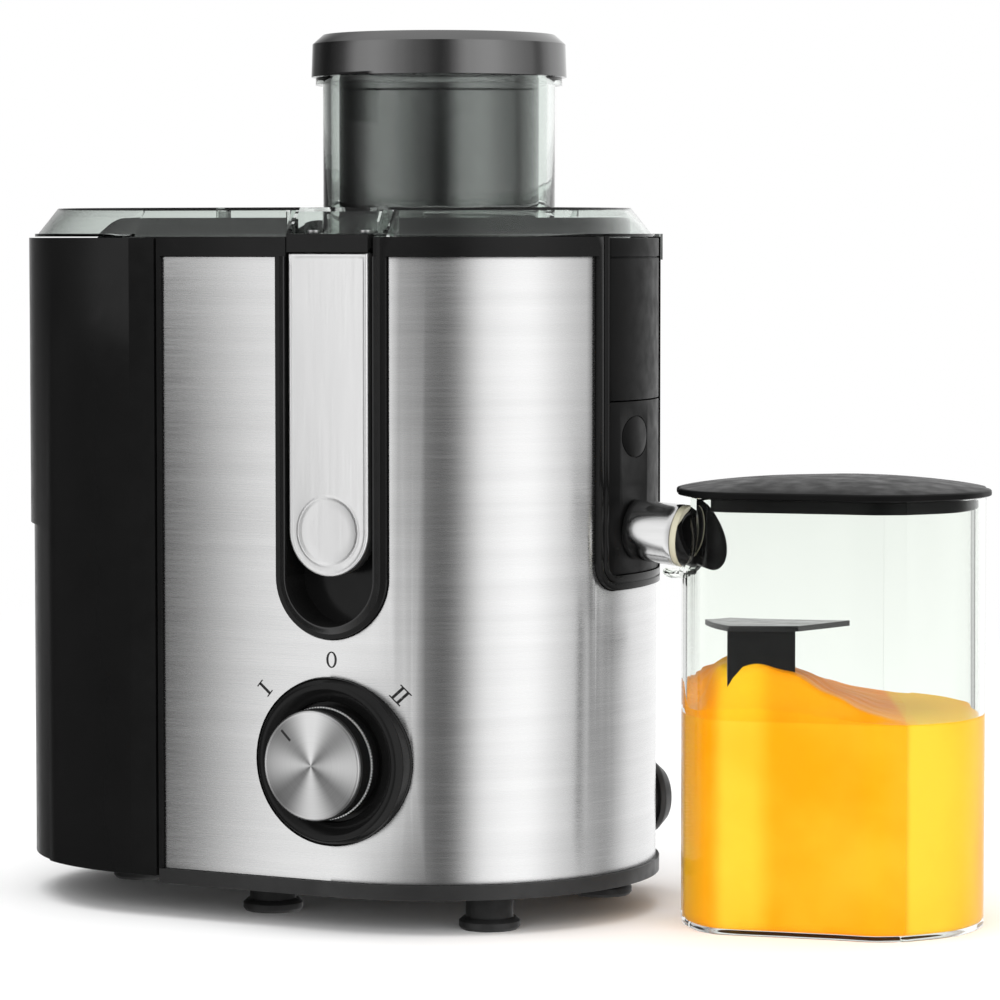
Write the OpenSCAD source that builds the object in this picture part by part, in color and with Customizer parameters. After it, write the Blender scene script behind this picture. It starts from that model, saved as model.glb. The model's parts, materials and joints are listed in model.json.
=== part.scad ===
// Centrifugal juicer: motor base with a steel wrap, see-through lid with a wide feed chute,
// spinning strainer basket, slide-off pulp bin and a see-through juice jug.
// Millimetres, +Z up. The origin is on the table under the centre of the whole object,
// the front faces -Y and the juice spout points to +X.

/* [Body] */
// Radius of the round ends of the body
body_r = 76.5; // [75:0.5:80]
// Distance between the centres of the two round ends
end_gap = 78; // [74:1:90]
// Height of the top rim of the body
rim_z = 231.5; // [231.5:0.1:232]
// Height of the underside of the base
base_z = 12; // [10:0.5:14]
// Height of the black base trim
trim_h = 5; // [4:0.5:6]
// Thickness of the steel wrap
steel_t = 0.8; // [0.6:0.1:1]

/* [Feed chute] */
// Inner diameter of the feed chute
chute_id = 75; // [70:1:76]
// Wall of the feed chute
chute_wall = 2.5; // [2:0.1:3]
// Height of the top of the feed chute
chute_top_z = 286; // [280:1:300]
// Outer diameter of the pusher
pusher_od = 69; // [62:1:69]
// Diameter of the pusher's cap
cap_d = 88; // [86:1:92]

/* [Controls] */
// Diameter of the dial's bezel
bezel_d = 56; // [52:1:58]
// Diameter of the knob
knob_d = 37.4; // [32:0.1:38]
// Height of the knob's axis
knob_z = 57.2; // [56:0.1:62]
// Width of a latch lever
lever_w = 30; // [28:0.5:30]

/* [Spout] */
// Height of the spout's axis where it leaves the body
spout_z = 132.5; // [131.5:0.1:133]
// Downward slope of the spout
spout_tilt = 5; // [4:1:7]

/* [Jug] */
// Length of the jug along its own long axis
jug_len = 100; // [98:1:104]
// Half width of the jug's widest part
jug_half = 44; // [43:0.5:46]
// Height of the jug's rim
jug_z = 145; // [144:0.5:146]
// Turn of the jug about the vertical
jug_turn = 28; // [26:1:30]

/* [Hidden] */
$fn = 96;

// Walls and clearances
wall = 2.5;
gap = 0.3;
fit = 0.05;
big = 400;

// Body heights and edges
trim_z = base_z + trim_h;
steel_top_z = rim_z - 6.5;
steel_r = body_r - 1.3;
steel_in_r = steel_r - steel_t;
shell_in_r = body_r - 4.5;
seam_x = -67;
deck_z = 116;
ledge_z = rim_z - 5.5;
well_r = 62.5;
vent_count = 7;
vent_pitch = 6;

// Feet
foot_xy = 42.3;
bin_foot_x = -123;
foot_r = 10.3;
foot_h = 4;
neck_r = 8;

// Latches
recess_w = lever_w + 2.4;
recess_z = 118.5;
recess_y = 64.5;
frame_w = 4.1;
tip_z = 134;
pin_y = 73.6;
pin_z = rim_z - 8.1;
pin_r = 1.2;
ear_r = 1.9;
ear_w = 2.7;
ear_x = 12.6;
lever_face_y = 76.8;
lever_back_y = 71;
lever_plate_t = 1.2;
block_z = rim_z - 5.1;
shelf_z = rim_z + 1.2;
hinge_screw_x = 10;
hinge_screw_y = 68.4;

// Side slot seen from the right, and its frame
slot_y0 = -17.5;
slot_y1 = 33;
slot_z = 117.6;
slot_corner_r = 4.3;
slot_frame_w = 4.7;
panel_r = body_r - 0.6;
panel_split_z = 176;

// Dial
bezel_r = bezel_d / 2;
knob_r = knob_d / 2;
dish_r = knob_r + 1.35;
knob_back_y = 74.2;
knob_front_y = 86.8;
knob_face_y = 88.2;

// Bowl and basket
bowl_r = 60.5;
bowl_floor_z = 121;
splash_r = 66;
basket_top_z = 231;
basket_floor_z = 160;

// Lid
lid_r = 74.5;
lid_edge_h = 1;
lid_top_z = rim_z + 9.8;
chute_r = chute_id / 2;
chute_low_z = 190;

// Jug
jug_x = 94;
jug_wall = 2.2;
collar_r = 12.4;

// Where the drive axis stands, so that the whole object's footprint is centred on the origin
left_reach = end_gap + body_r;
right_reach = jug_x + jug_len * cos(jug_turn) + jug_half * 0.2;
front_reach = knob_face_y;
back_reach = 77;
drive_x = round(left_reach - right_reach) / 2;
drive_y = round(front_reach - back_reach) / 2;

// ---------- placing ----------

module on_drive_axis() {
    translate([drive_x, drive_y, 0]) children();
}

// Puts children at the front, or turns them round to the back
module at_side(side) {
    if (side == "front") children();
    else mirror([0, 1, 0]) children();
}

// Along the spout: local Z runs outwards along the spout's axis from the drive axis' side
module along_spout() {
    translate([body_r, 0, spout_z]) rotate([0, 90 + spout_tilt, 0]) children();
}

// The jug's own frame: local X along its long axis from the spout end, local Y across it
module in_jug() {
    on_drive_axis() translate([jug_x, 0, 0]) rotate([0, 0, jug_turn]) children();
}

// A round bar along Y from y0 to y1
module bar_y(r, y0, y1, fn = 96) {
    translate([0, y1, 0]) rotate([90, 0, 0]) cylinder(h = y1 - y0, r = r, $fn = fn);
}

// A round bar along X from x0 to x1
module bar_x(r, x0, x1, fn = 64) {
    translate([x0, 0, 0]) rotate([0, 90, 0]) cylinder(h = x1 - x0, r = r, $fn = fn);
}

module box_between(low, high) {
    translate(low) cube(high - low);
}

// Oval with half widths a and b
module oval(a, b) {
    polygon([for (i = [0:5:355]) [a * cos(i), b * sin(i)]]);
}

module tube(r_out, r_in, h) {
    difference() {
        cylinder(h = h, r = r_out);
        translate([0, 0, -1]) cylinder(h = h + 2, r = r_in);
    }
}

// ---------- plan shapes ----------

// Plan of the whole body: two round ends joined by straight sides
module plan(r) {
    circle(r, $fn = 128);
    translate([-end_gap, -r]) square([end_gap, 2 * r]);
    translate([-end_gap, 0]) circle(r, $fn = 128);
}

// Plan of the motor base, to the right of the seam
module plan_base(r, x_min = seam_x) {
    intersection() {
        plan(r);
        translate([x_min, -big]) square([big, 2 * big]);
    }
}

// Plan of the pulp bin, to the left of the seam
module plan_bin(r, x_max) {
    intersection() {
        plan(r);
        translate([x_max - big, -big]) square([big, 2 * big]);
    }
}

// The same plan with sloping sides, from radius r1 up to radius r2
module plan_frustum(r1, r2, z0, h) {
    for (x = [0, -end_gap]) translate([x, 0, z0]) cylinder(h = h, r1 = r1, r2 = r2, $fn = 128);
    translate([-end_gap, 0, z0]) rotate([90, 0, 90]) linear_extrude(end_gap)
        polygon([[-r1, 0], [r1, 0], [r2, h], [-r2, h]]);
}

// A pie slice about the drive axis between two angles
module sector(a0, a1, r = 120) {
    polygon([[0, 0], r * [cos(a0), sin(a0)], r * [cos((a0 + a1) / 2), sin((a0 + a1) / 2)] * 1.1,
             r * [cos(a1), sin(a1)]]);
}

// Outline of the side slot seen from the right, with round lower corners
module slot_outline(grow) {
    r = slot_corner_r + grow;
    round_z = slot_z + slot_corner_r;
    slot_w = slot_y1 - slot_y0;
    translate([slot_y0 - grow, round_z]) square([slot_w + 2 * grow, big]);
    translate([slot_y0 + slot_corner_r, slot_z - grow]) square([slot_w - 2 * slot_corner_r, r]);
    for (y = [slot_y0 + slot_corner_r, slot_y1 - slot_corner_r]) translate([y, round_z]) circle(r);
}

module slot_prism(grow) {
    rotate([90, 0, 90]) linear_extrude(big) slot_outline(grow);
}

// U-shaped opening of half width w, round at the bottom and open at the top, standing on the front
module u_prism(w, y0, y1) {
    translate([0, y1, 0]) rotate([90, 0, 0]) linear_extrude(y1 - y0) {
        translate([0, recess_z]) circle(w);
        translate([-w, recess_z]) square([2 * w, big]);
    }
}

// ---------- base ----------

module base_plate() color("#1c1c1e") on_drive_axis() difference() {
    union() {
        translate([0, 0, base_z]) linear_extrude(trim_h) plan_base(body_r);
        // tongue that carries the pulp bin
        box_between([bin_foot_x, -24, base_z], [seam_x + 1, 24, trim_z]);
        translate([bin_foot_x, 0, base_z]) cylinder(h = trim_h, r = 24);
    }
    // hollow inside of the tray
    translate([0, 0, base_z + 2]) linear_extrude(trim_h) plan_base(shell_in_r - 6, seam_x + wall + 6);
    // air slots under the motor
    for (i = [-3:3]) translate([i * 9 - 2, -18, base_z - 1]) cube([4, 36, 4]);
    for (p = base_screw_places) translate([p[0], p[1], base_z - 1]) {
        cylinder(h = trim_h + 2, r = 1.75, $fn = 32);
        cylinder(h = 2.2, r = 3.6, $fn = 32);
    }
}

base_screw_places = [[-56, -68.5], [-56, 68.5], [48.5, -49.5], [48.5, 49.5]];

module base_screws() color("#8d8f92") on_drive_axis() for (p = base_screw_places)
    translate([p[0], p[1], base_z + 0.1]) difference() {
        union() {
            cylinder(h = 1.1, r = 3.3, $fn = 32);
            cylinder(h = 12, r = 1.5, $fn = 32);
        }
        for (a = [0, 90]) rotate([0, 0, a]) translate([-2, -0.4, -1]) cube([4, 0.8, 1.6]);
    }

// Rubber foot: a pad with a rounded edge on a neck that reaches up to the base
module foot(x, y) color("#141415") on_drive_axis() translate([x, y, 0]) rotate_extrude($fn = 64)
    polygon([[0, 0.5], [6, 0.5], [6.6, 0], [foot_r - 0.8, 0], [foot_r, 1], [foot_r, 2.8],
             [foot_r - 1.4, foot_h], [neck_r, foot_h], [neck_r, base_z], [0, base_z]]);

module foot_front_left() foot(-foot_xy, -foot_xy);
module foot_front_right() foot(foot_xy, -foot_xy);
module foot_back_left() foot(-foot_xy, foot_xy);
module foot_back_right() foot(foot_xy, foot_xy);
module foot_bin() foot(bin_foot_x, 0);

// ---------- housing ----------

// Raised black frames that the steel wrap is cut around
module frames(grow = 0) {
    for (side = ["front", "back"]) at_side(side)
        u_prism(recess_w / 2 + frame_w + grow, -body_r - 5, -40);
    slot_prism(slot_frame_w + grow);
}

// The wall space that the steel wrap fills
module wrap_space(r_in, r_out, grow = 0) {
    difference() {
        translate([0, 0, trim_z]) linear_extrude(steel_top_z - trim_z) difference() {
            plan_base(r_out, seam_x + 1.5);
            plan(r_in);
        }
        frames(grow);
        // holes for the dial and for the cord's gland
        translate([0, 0, knob_z]) bar_y(bezel_r + 0.1, -body_r - 5, -40);
        gland_cut(10.6);
    }
}

// The gland's own frame: local X points out of the body at the back right
module at_gland() {
    rotate([0, 0, 52]) translate([0, 0, 33]) children();
}

module gland_cut(r, from = 50) {
    at_gland() bar_x(r, from, body_r + 5);
}

// Air slots at the back
module vents() {
    for (i = [0:vent_count - 1])
        box_between([-52, 60, 30 + i * vent_pitch], [-24, body_r + 5, 33 + i * vent_pitch]);
}

module housing() color("#202023") on_drive_axis() difference() {
    union() {
        // outer shell
        difference() {
            translate([0, 0, trim_z]) linear_extrude(rim_z - trim_z) plan_base(body_r);
            translate([0, 0, trim_z - 1]) linear_extrude(big) plan_base(shell_in_r, seam_x + wall);
        }
        // deck over the motor, ledge round the well, and the well's wall
        translate([0, 0, deck_z]) linear_extrude(wall) plan_base(shell_in_r + 1, seam_x + 1);
        translate([0, 0, ledge_z - wall]) linear_extrude(wall) plan_base(shell_in_r + 1, seam_x + 1);
        translate([0, 0, deck_z + 1]) cylinder(h = ledge_z - deck_z - 2, r = well_r + wall, $fn = 128);
        // walls of the latch recesses
        for (side = ["front", "back"]) at_side(side) intersection() {
            u_prism(recess_w / 2 + wall, -recess_y - 10, -recess_y + wall);
            cylinder(h = rim_z, r = 200);
        }
        // screw posts for the base
        for (p = base_screw_places) translate([p[0], p[1], trim_z]) cylinder(h = 22, r = 4.2, $fn = 48);
    }
    translate([0, 0, deck_z + wall]) cylinder(h = big, r = well_r, $fn = 128);
    wrap_space(steel_in_r, body_r + 20);
    for (side = ["front", "back"]) at_side(side) u_prism(recess_w / 2, -body_r - 5, -recess_y);
    // slot for the bowl's side panel, and the fine groove in its frame
    difference() {
        slot_prism(0);
        cylinder(h = big, r = well_r - 10);
    }
    difference() {
        slot_prism(2.7);
        slot_prism(2.2);
        cylinder(h = big, r = body_r - 0.6, $fn = 128);
    }
    // way for the pulp into the bin
    box_between([seam_x - 5, -splash_r - 0.4, ledge_z], [seam_x + 5, splash_r + 0.4, big]);
    translate([plunger_x, plunger_y, ledge_z - wall - 1]) cylinder(h = wall + 2, r = 1.5 + fit, $fn = 32);
    // drive shaft, motor bolts, dial and switch, cord, base screws
    translate([0, 0, deck_z - 1]) cylinder(h = wall + 2, r = 13.5);
    for (p = motor_bolt_places) translate([p[0], p[1], deck_z - 1]) cylinder(h = wall + 2, r = 3.5, $fn = 32);
    translate([0, 0, knob_z]) {
        bar_y(bezel_r, -body_r - 5, -70);
        bar_y(5.2, -72, -50);
    }
    gland_cut(7);
    gland_cut(10.6, steel_in_r - 1.5);
    for (p = base_screw_places) translate([p[0], p[1], trim_z - 1]) cylinder(h = 16, r = 1.5, $fn = 32);
    vents();
}

module steel_wrap() color("#c9cbcd") on_drive_axis() difference() {
    wrap_space(steel_in_r, steel_r, gap);
    vents();
}

// Round boss that the mains cord leaves through
module cord_gland() color("#18181a") on_drive_axis() at_gland() difference() {
    union() {
        bar_x(10.5, steel_in_r - 1.4, body_r + 5);
        translate([body_r + 5, 0, 0]) rotate([0, 90, 0]) cylinder(h = 4, r1 = 13, r2 = 9.5, $fn = 64);
        translate([body_r + 3, 0, 0]) rotate([0, 90, 0]) cylinder(h = 2, r = 13, $fn = 64);
        bar_x(6.9, steel_in_r - 10, steel_in_r);
    }
    bar_x(3.3, 40, body_r + 20);
    translate([body_r + 7, 0, 0]) rotate([0, 90, 0]) cylinder(h = 2.1, r1 = 3.3, r2 = 6, $fn = 64);
}

// ---------- motor ----------

motor_bolt_places = [[-26, -26], [-26, 26], [26, -26], [26, 26]];
stack_z = 68;
stack_h = 26;

coil_out_r = 26;
coil_over = 5.5;

module motor_stator() color("#8a8d90") on_drive_axis() translate([0, 0, stack_z]) linear_extrude(stack_h)
    difference() {
        intersection() {
            square([70, 64], center = true);
            circle(41);
        }
        circle(19);
        // slots for the coils
        intersection() {
            circle(coil_out_r);
            square([26, 60], center = true);
        }
        for (p = motor_bolt_places) translate(p) circle(2, $fn = 32);
    }

// Half ring of winding above or below the stack, on one side of the rotor
module coil_ring(s, x0, x1, z, h) {
    translate([0, 0, z]) linear_extrude(h) intersection() {
        difference() {
            circle(coil_out_r - 0.4);
            circle(19.4);
        }
        translate([s > 0 ? x0 : -x1, -40]) square([x1 - x0, 80]);
    }
}

module field_coils() color("#b4622d") on_drive_axis() for (s = [-1, 1]) {
    coil_ring(s, 0.6, 12.6, stack_z - coil_over, stack_h + 2 * coil_over);
    coil_ring(s, 12, 40, stack_z - coil_over, coil_over - 0.2);
    coil_ring(s, 12, 40, stack_z + stack_h + 0.2, coil_over - 0.2);
}

// Bracket across the motor with a seat for a bearing
module bracket(z, seat_r) {
    difference() {
        union() {
            translate([0, 0, z]) cylinder(h = 4, r = 16);
            for (a = [45, 135]) rotate([0, 0, a]) translate([-41.5, -5, z]) cube([83, 10, 4]);
            for (p = motor_bolt_places) translate([p[0], p[1], z]) cylinder(h = 4, r = 6, $fn = 48);
            translate([0, 0, z - 3]) cylinder(h = 10, r = seat_r + 2.5);
        }
        translate([0, 0, z - 4]) cylinder(h = 20, r = seat_r);
        for (p = motor_bolt_places) translate([p[0], p[1], z - 1]) cylinder(h = 6, r = 2, $fn = 32);
    }
}

module upper_bracket() color("#9b9ea1") on_drive_axis() bracket(104, 8);
module lower_bracket() color("#9b9ea1") on_drive_axis() bracket(44, 8);

module bearing(z) {
    translate([0, 0, z]) tube(8, 4 + fit, 7);
}

module upper_bearing() color("#b08d3c") on_drive_axis() bearing(103);
module lower_bearing() color("#b08d3c") on_drive_axis() bearing(43);

module brush_holders() color("#3b2a1e") on_drive_axis() for (s = [-1, 1]) translate([s * 22, 0, 57])
    difference() {
        translate([-9, -4.5, -5]) cube([18, 9, 10]);
        translate([-10, -2.6, -3.1]) cube([20, 5.2, 6.2]);
    }

module carbon_brushes() color("#2a2a2c") on_drive_axis() for (s = [-1, 1]) translate([s * 19.5, 0, 57])
    translate([-7.2, -2.5, -3]) cube([14.4, 5, 6]);

module motor_dampers() color("#161617") on_drive_axis() for (p = motor_bolt_places)
    translate([p[0], p[1], 108]) difference() {
        union() {
            cylinder(h = deck_z - 108, r = 6, $fn = 48);
            cylinder(h = deck_z - 108 + wall, r = 3.4, $fn = 48);
            translate([0, 0, deck_z - 108 + wall]) cylinder(h = 1.4, r = 5, $fn = 48);
        }
        translate([0, 0, -1]) cylinder(h = 20, r = 2, $fn = 32);
    }

module motor_screws() color("#8d8f92") on_drive_axis() for (p = motor_bolt_places)
    translate([p[0], p[1], 38]) {
        cylinder(h = deck_z - 38 + wall + 1.4, r = 1.9, $fn = 32);
        translate([0, 0, deck_z - 38 + wall + 1.4]) cylinder(h = 0.9, r = 3.4, $fn = 32);
        translate([0, 0, 3]) cylinder(h = 3, r = 3.4, $fn = 6);
    }

module shaft_seal() color("#2b2b2d") on_drive_axis() translate([0, 0, deck_z]) {
    tube(13.4, 4.6, wall);
    translate([0, 0, wall]) tube(15, 10.5, 1.5);
}

// ---------- switch, dial and interlock ----------

module speed_switch() color("#d8d8d2") on_drive_axis() translate([0, 0, knob_z]) difference() {
    union() {
        box_between([-14, -66, -14], [14, -46, 14]);
        bar_y(5, -71, -65.9, 48);
        for (x = [-9, 0, 9]) box_between([x - 1.6, -46, -6], [x + 1.6, -40, 6]);
    }
    bar_y(3.1, -72, -52, 48);
}

// Ring round the knob, dished towards the middle
module knob_bezel() color("#1b1b1d") on_drive_axis() translate([0, 0, knob_z]) rotate([90, 0, 0])
    rotate_extrude($fn = 128) polygon([[5.2, 70.1], [bezel_r, 70.1], [bezel_r, 76], [bezel_r - 0.8, 77.4],
        [bezel_r - 2, 78.2], [bezel_r - 3.2, 78.2], [dish_r, 76.2], [dish_r, 73.5], [5.2, 73.5]]);

// Knob body, with a knurled ring half way up its skirt
module knob() color("#151516") on_drive_axis() translate([0, 0, knob_z]) union() {
    difference() {
        bar_y(knob_r, -knob_front_y, -knob_back_y);
        bar_y(knob_r - 2, 2.5 - knob_front_y, 0.2 - knob_back_y);
    }
    bar_y(3, 2 - knob_front_y, -60, 48);
    for (i = [0:71]) rotate([0, i * 5, 0]) translate([0, 0, knob_r])
        box_between([-0.4, -80.9, -1], [0.4, -79.7, 0.25]);
}

// Turned metal face let into the knob, with its pointer line
module knob_insert() color("#d5d7d9") on_drive_axis() translate([0, 0, knob_z]) difference() {
    union() {
        bar_y(knob_r - 0.4, 0.4 - knob_face_y, -knob_front_y);
        bar_y(knob_r - 1.2, -knob_face_y, 0.4 - knob_face_y);
    }
    rotate([0, -45, 0]) box_between([-0.45, -knob_face_y - 1, 11.2], [0.45, 0.3 - knob_face_y, 16]);
}

plunger_x = -50;
plunger_y = -60;

module interlock_switch() color("#26415e") on_drive_axis() difference() {
    box_between([plunger_x - 6, plunger_y - 6, 206], [plunger_x + 6, plunger_y + 6, ledge_z - wall]);
    translate([plunger_x, plunger_y, 212]) cylinder(h = 30, r = 1.5 + fit, $fn = 32);
}

// Pin that the lid holds down while the juicer is closed
module interlock_plunger() color("#d9d4c4") on_drive_axis() translate([plunger_x, plunger_y, 214])
    cylinder(h = rim_z - 0.3 - 214, r = 1.5, $fn = 32);

// ---------- latches ----------

// Leaf spring in the recess that the lever's hook snaps over
module catch_spring(side) {
    at_side(side) translate([-5, 0, 0]) rotate([90, 0, 90]) linear_extrude(10)
        polygon([[-recess_y, 162], [-recess_y - 0.8, 162], [-recess_y - 3.6, 153.5], [-recess_y - 5.2, 148.6],
                 [-recess_y - 4.2, 145.2], [-recess_y - 3.5, 145.4], [-recess_y - 4.3, 148.6],
                 [-recess_y - 2.8, 153.2], [-recess_y - 0.4, 158], [-recess_y, 158]]);
}

module catch_spring_front() color("#b9bcbf") on_drive_axis() catch_spring("front");
module catch_spring_back() color("#b9bcbf") on_drive_axis() catch_spring("back");

// Black block under the lid's edge, with two ears that hold the lever's pin
module hinge_block(side) {
    at_side(side) difference() {
        union() {
            box_between([-lever_w / 2 - 0.5, -77, block_z], [lever_w / 2 + 0.5, -recess_y - gap, rim_z]);
            box_between([-lever_w / 2 - 0.5, -77, rim_z - 1], [lever_w / 2 + 0.5, -72, rim_z + 0.9]);
            ears(-67.5, block_z + 1);
        }
        // room for the top of the lever, between and beside the ears
        difference() {
            translate([0, -pin_y, pin_z]) bar_x(4.5, -20, 20);
            ears(-60, block_z + 5);
        }
        translate([0, -pin_y, pin_z]) bar_x(pin_r, -20, 20, 48);
        hinge_screw_holes(block_z - 5);
    }
}

// The two ears round the lever's pin, reaching back to y1 and up to z1
module ears(y1, z1) {
    for (x = [-ear_x, ear_x - ear_w]) {
        translate([x, -pin_y, pin_z]) bar_x(ear_r, 0, ear_w, 48);
        box_between([x, -pin_y, pin_z - ear_r], [x + ear_w, y1, pin_z + ear_r]);
        box_between([x, -70, pin_z - ear_r], [x + ear_w, y1, z1]);
    }
}

module hinge_screw_holes(z) {
    for (x = [-hinge_screw_x, hinge_screw_x])
        translate([x, -hinge_screw_y, z]) cylinder(h = 20, r = 1.2, $fn = 32);
}

module hinge_block_front() color("#1d1d1f") on_drive_axis() hinge_block("front");
module hinge_block_back() color("#1d1d1f") on_drive_axis() hinge_block("back");

module hinge_screws() color("#8d8f92") on_drive_axis() for (side = ["front", "back"]) at_side(side)
    for (x = [-hinge_screw_x, hinge_screw_x]) translate([x, -hinge_screw_y, 0]) {
        translate([0, 0, block_z + 1]) cylinder(h = shelf_z - block_z - 1, r = 1.2, $fn = 32);
        translate([0, 0, shelf_z]) cylinder(h = 1, r = 2.2, $fn = 32);
    }

module latch_pin(side) {
    at_side(side) translate([0, -pin_y, pin_z]) bar_x(pin_r, -13.5, 13.5, 48);
}

module latch_pin_front() color("#b9bcbf") on_drive_axis() latch_pin("front");
module latch_pin_back() color("#b9bcbf") on_drive_axis() latch_pin("back");

// Outline of a lever seen from the front, round at the tip
module lever_outline(w, top) {
    translate([0, tip_z]) circle(w);
    translate([-w, tip_z]) square([2 * w, top - tip_z]);
}

module standing(y0, y1) {
    translate([0, y1, 0]) rotate([90, 0, 0]) linear_extrude(y1 - y0) children();
}

// Moulded lever behind the metal plate
module latch(side) {
    at_side(side) difference() {
        union() {
            standing(lever_plate_t - lever_face_y, -lever_back_y) lever_outline(lever_w / 2, pin_z + 2.6);
            // hook that snaps on the catch spring
            box_between([-6, -lever_back_y - 1, 140], [6, -66.8, 142.4]);
            box_between([-6, -67.8, 140], [6, -66.8, 146.3]);
        }
        // lightening pocket in the back
        difference() {
            standing(-73.5, -lever_back_y + 1) lever_outline(lever_w / 2 - 2, pin_z - 8);
            box_between([-8, -80, 137], [8, -60, 146]);
        }
        // slots for the block's ears
        for (x = [-ear_x - gap, ear_x - ear_w - gap]) {
            translate([x, -pin_y, pin_z]) bar_x(ear_r + gap, 0, ear_w + 2 * gap, 48);
            box_between([x, -pin_y, pin_z - 5.4], [x + ear_w + 2 * gap, -60, pin_z]);
            box_between([x, -lever_face_y, pin_z], [x + ear_w + 2 * gap, -60, pin_z + 5]);
        }
        translate([0, -pin_y, pin_z]) bar_x(pin_r + fit, -14, 14, 48);
    }
}

module latch_front() color("#3a3b3d") on_drive_axis() latch("front");
module latch_back() color("#3a3b3d") on_drive_axis() latch("back");

// Brushed plate on the lever's face with a round thumb dimple
module latch_plate(side) {
    at_side(side) difference() {
        standing(-lever_face_y, lever_plate_t - lever_face_y) lever_outline(lever_w / 2, pin_z + 2.6);
        translate([0, 0, tip_z]) bar_y(11.5, -lever_face_y - 1, 0.6 - lever_face_y);
    }
}

module latch_plate_front() color("#d9dadc") on_drive_axis() latch_plate("front");
module latch_plate_back() color("#d9dadc") on_drive_axis() latch_plate("back");

// ---------- bowl, side panel and spout ----------

chute_end_x = -86;
splash_end_x = -106;

// Side view of the splash wall's end, falling in a soft S towards the bin
module splash_fall() {
    steps = 10;
    polygon(concat(
        [for (i = [0:steps]) [splash_end_x + (chute_end_x - splash_end_x) * i / steps,
                              rim_z - 2 + 4 * (1 - cos(180 * i / steps))]],
        [[chute_end_x, rim_z + 20], [splash_end_x - 20, rim_z + 20], [splash_end_x - 20, rim_z - 2]]));
}

module juice_bowl() color("#26282a") on_drive_axis() difference() {
    union() {
        translate([0, 0, bowl_floor_z]) cylinder(h = ledge_z + 2 - bowl_floor_z, r = bowl_r, $fn = 128);
        // flange on the ledge, running out over the edge of the bin
        translate([0, 0, ledge_z]) linear_extrude(2) plan_base(shell_in_r - gap, chute_end_x);
        // splash wall seen through the lid
        translate([0, 0, ledge_z]) linear_extrude(rim_z + 6 - ledge_z) difference() {
            plan_base(splash_r, splash_end_x);
            plan(splash_r - 2);
        }
    }
    difference() {
        translate([0, 0, bowl_floor_z + wall]) cylinder(h = big, r = bowl_r - 2, $fn = 128);
        // chimney round the drive
        translate([0, 0, bowl_floor_z]) cylinder(h = 22, r = 18);
    }
    translate([0, 0, bowl_floor_z - 1]) cylinder(h = big, r = 16);
    // the flange stays clear of the latch recesses, of the bin's path and of the side slot
    for (side = ["front", "back"]) at_side(side)
        box_between([-recess_w / 2 - wall - 0.8, -big, ledge_z - 1],
                    [recess_w / 2 + wall + 0.8, -recess_y + wall + 1.2, big]);
    translate([0, 80, 0]) rotate([90, 0, 0]) linear_extrude(160) splash_fall();
    box_between([chute_end_x - 30, -splash_r - 20, ledge_z - 1], [chute_end_x, splash_r + 20, ledge_z + 2]);
    for (s = [-1, 1]) box_between([chute_end_x - 1, s > 0 ? splash_r : -90, ledge_z - 1],
                                  [seam_x + wall + 1, s > 0 ? 90 : -splash_r, big]);
    // juice outlet, and a way through for the interlock's pin
    along_spout() translate([0, 0, -40]) cylinder(h = 60, r = 8.5);
    translate([plunger_x, plunger_y, ledge_z - 1]) cylinder(h = 5, r = 3, $fn = 48);
}

// Curved panel that fills the housing's side slot
module side_panel(z0, z1) {
    intersection() {
        translate([0, 0, z0]) linear_extrude(z1 - z0) difference() {
            circle(panel_r, $fn = 128);
            circle(panel_r - 3, $fn = 128);
        }
        slot_prism(-gap);
    }
}

module side_panel_upper() color("#232325") on_drive_axis() difference() {
    side_panel(panel_split_z + 0.4, rim_z - 0.4);
    // groove level with the top of the steel
    translate([0, 0, steel_top_z - 0.7]) tube(panel_r + 5, panel_r - 0.6, 0.5);
}

module side_panel_lower() color("#232325") on_drive_axis() difference() {
    side_panel(slot_z + gap, panel_split_z);
    along_spout() translate([0, 0, -40]) cylinder(h = 60, r = 8.5);
    // fine ring mark above the spout
    intersection() {
        translate([0, 0, 164]) rotate([0, 90, 0]) linear_extrude(big) difference() {
            oval(7.2, 9.6);
            oval(6.8, 9.2);
        }
        tube(panel_r + 5, panel_r - 0.4, big);
    }
}

spout_len = 19.3;
seal_h = 2.3;
nozzle_r = 11.5;

// Tube from the bowl to the nozzle
module spout_tube() color("#2a2b2d") on_drive_axis() difference() {
    along_spout() translate([0, 0, -17.2]) cylinder(h = 17.2 + spout_len - 0.1, r = 8.45);
    along_spout() translate([0, 0, -20]) cylinder(h = 60, r = 7.2);
    cylinder(h = big, r = bowl_r - 1.9, $fn = 128);
}

module spout_sleeve() color("#c4c6c8") on_drive_axis() difference() {
    along_spout() translate([0, 0, -1]) cylinder(h = spout_len - seal_h + 0.9, r1 = 10.1, r2 = 10.5);
    along_spout() translate([0, 0, -5]) cylinder(h = 60, r = 8.45);
    cylinder(h = big, r = panel_r, $fn = 128);
}

// Clear ring that the nozzle turns against
module nozzle_seal() color("#d8cf9a") on_drive_axis() along_spout()
    translate([0, 0, spout_len - seal_h]) tube(nozzle_r - 1, 8.55, seal_h);

// Drip-stop nozzle, cut off at a slant so that its lip is longest below and behind
module nozzle() color("#101011") on_drive_axis() along_spout() difference() {
    translate([0, 0, spout_len + 0.1]) cylinder(h = 14, r1 = nozzle_r - 1, r2 = nozzle_r);
    translate([0, 0, spout_len - 1]) cylinder(h = 40, r = 8.6);
    translate([0, 0, spout_len + 4.8]) rotate([0, 0, 30]) rotate([0, -29, 0])
        translate([-30, -30, 0]) cube([60, 60, 40]);
}

// ---------- lid and pusher ----------

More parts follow.
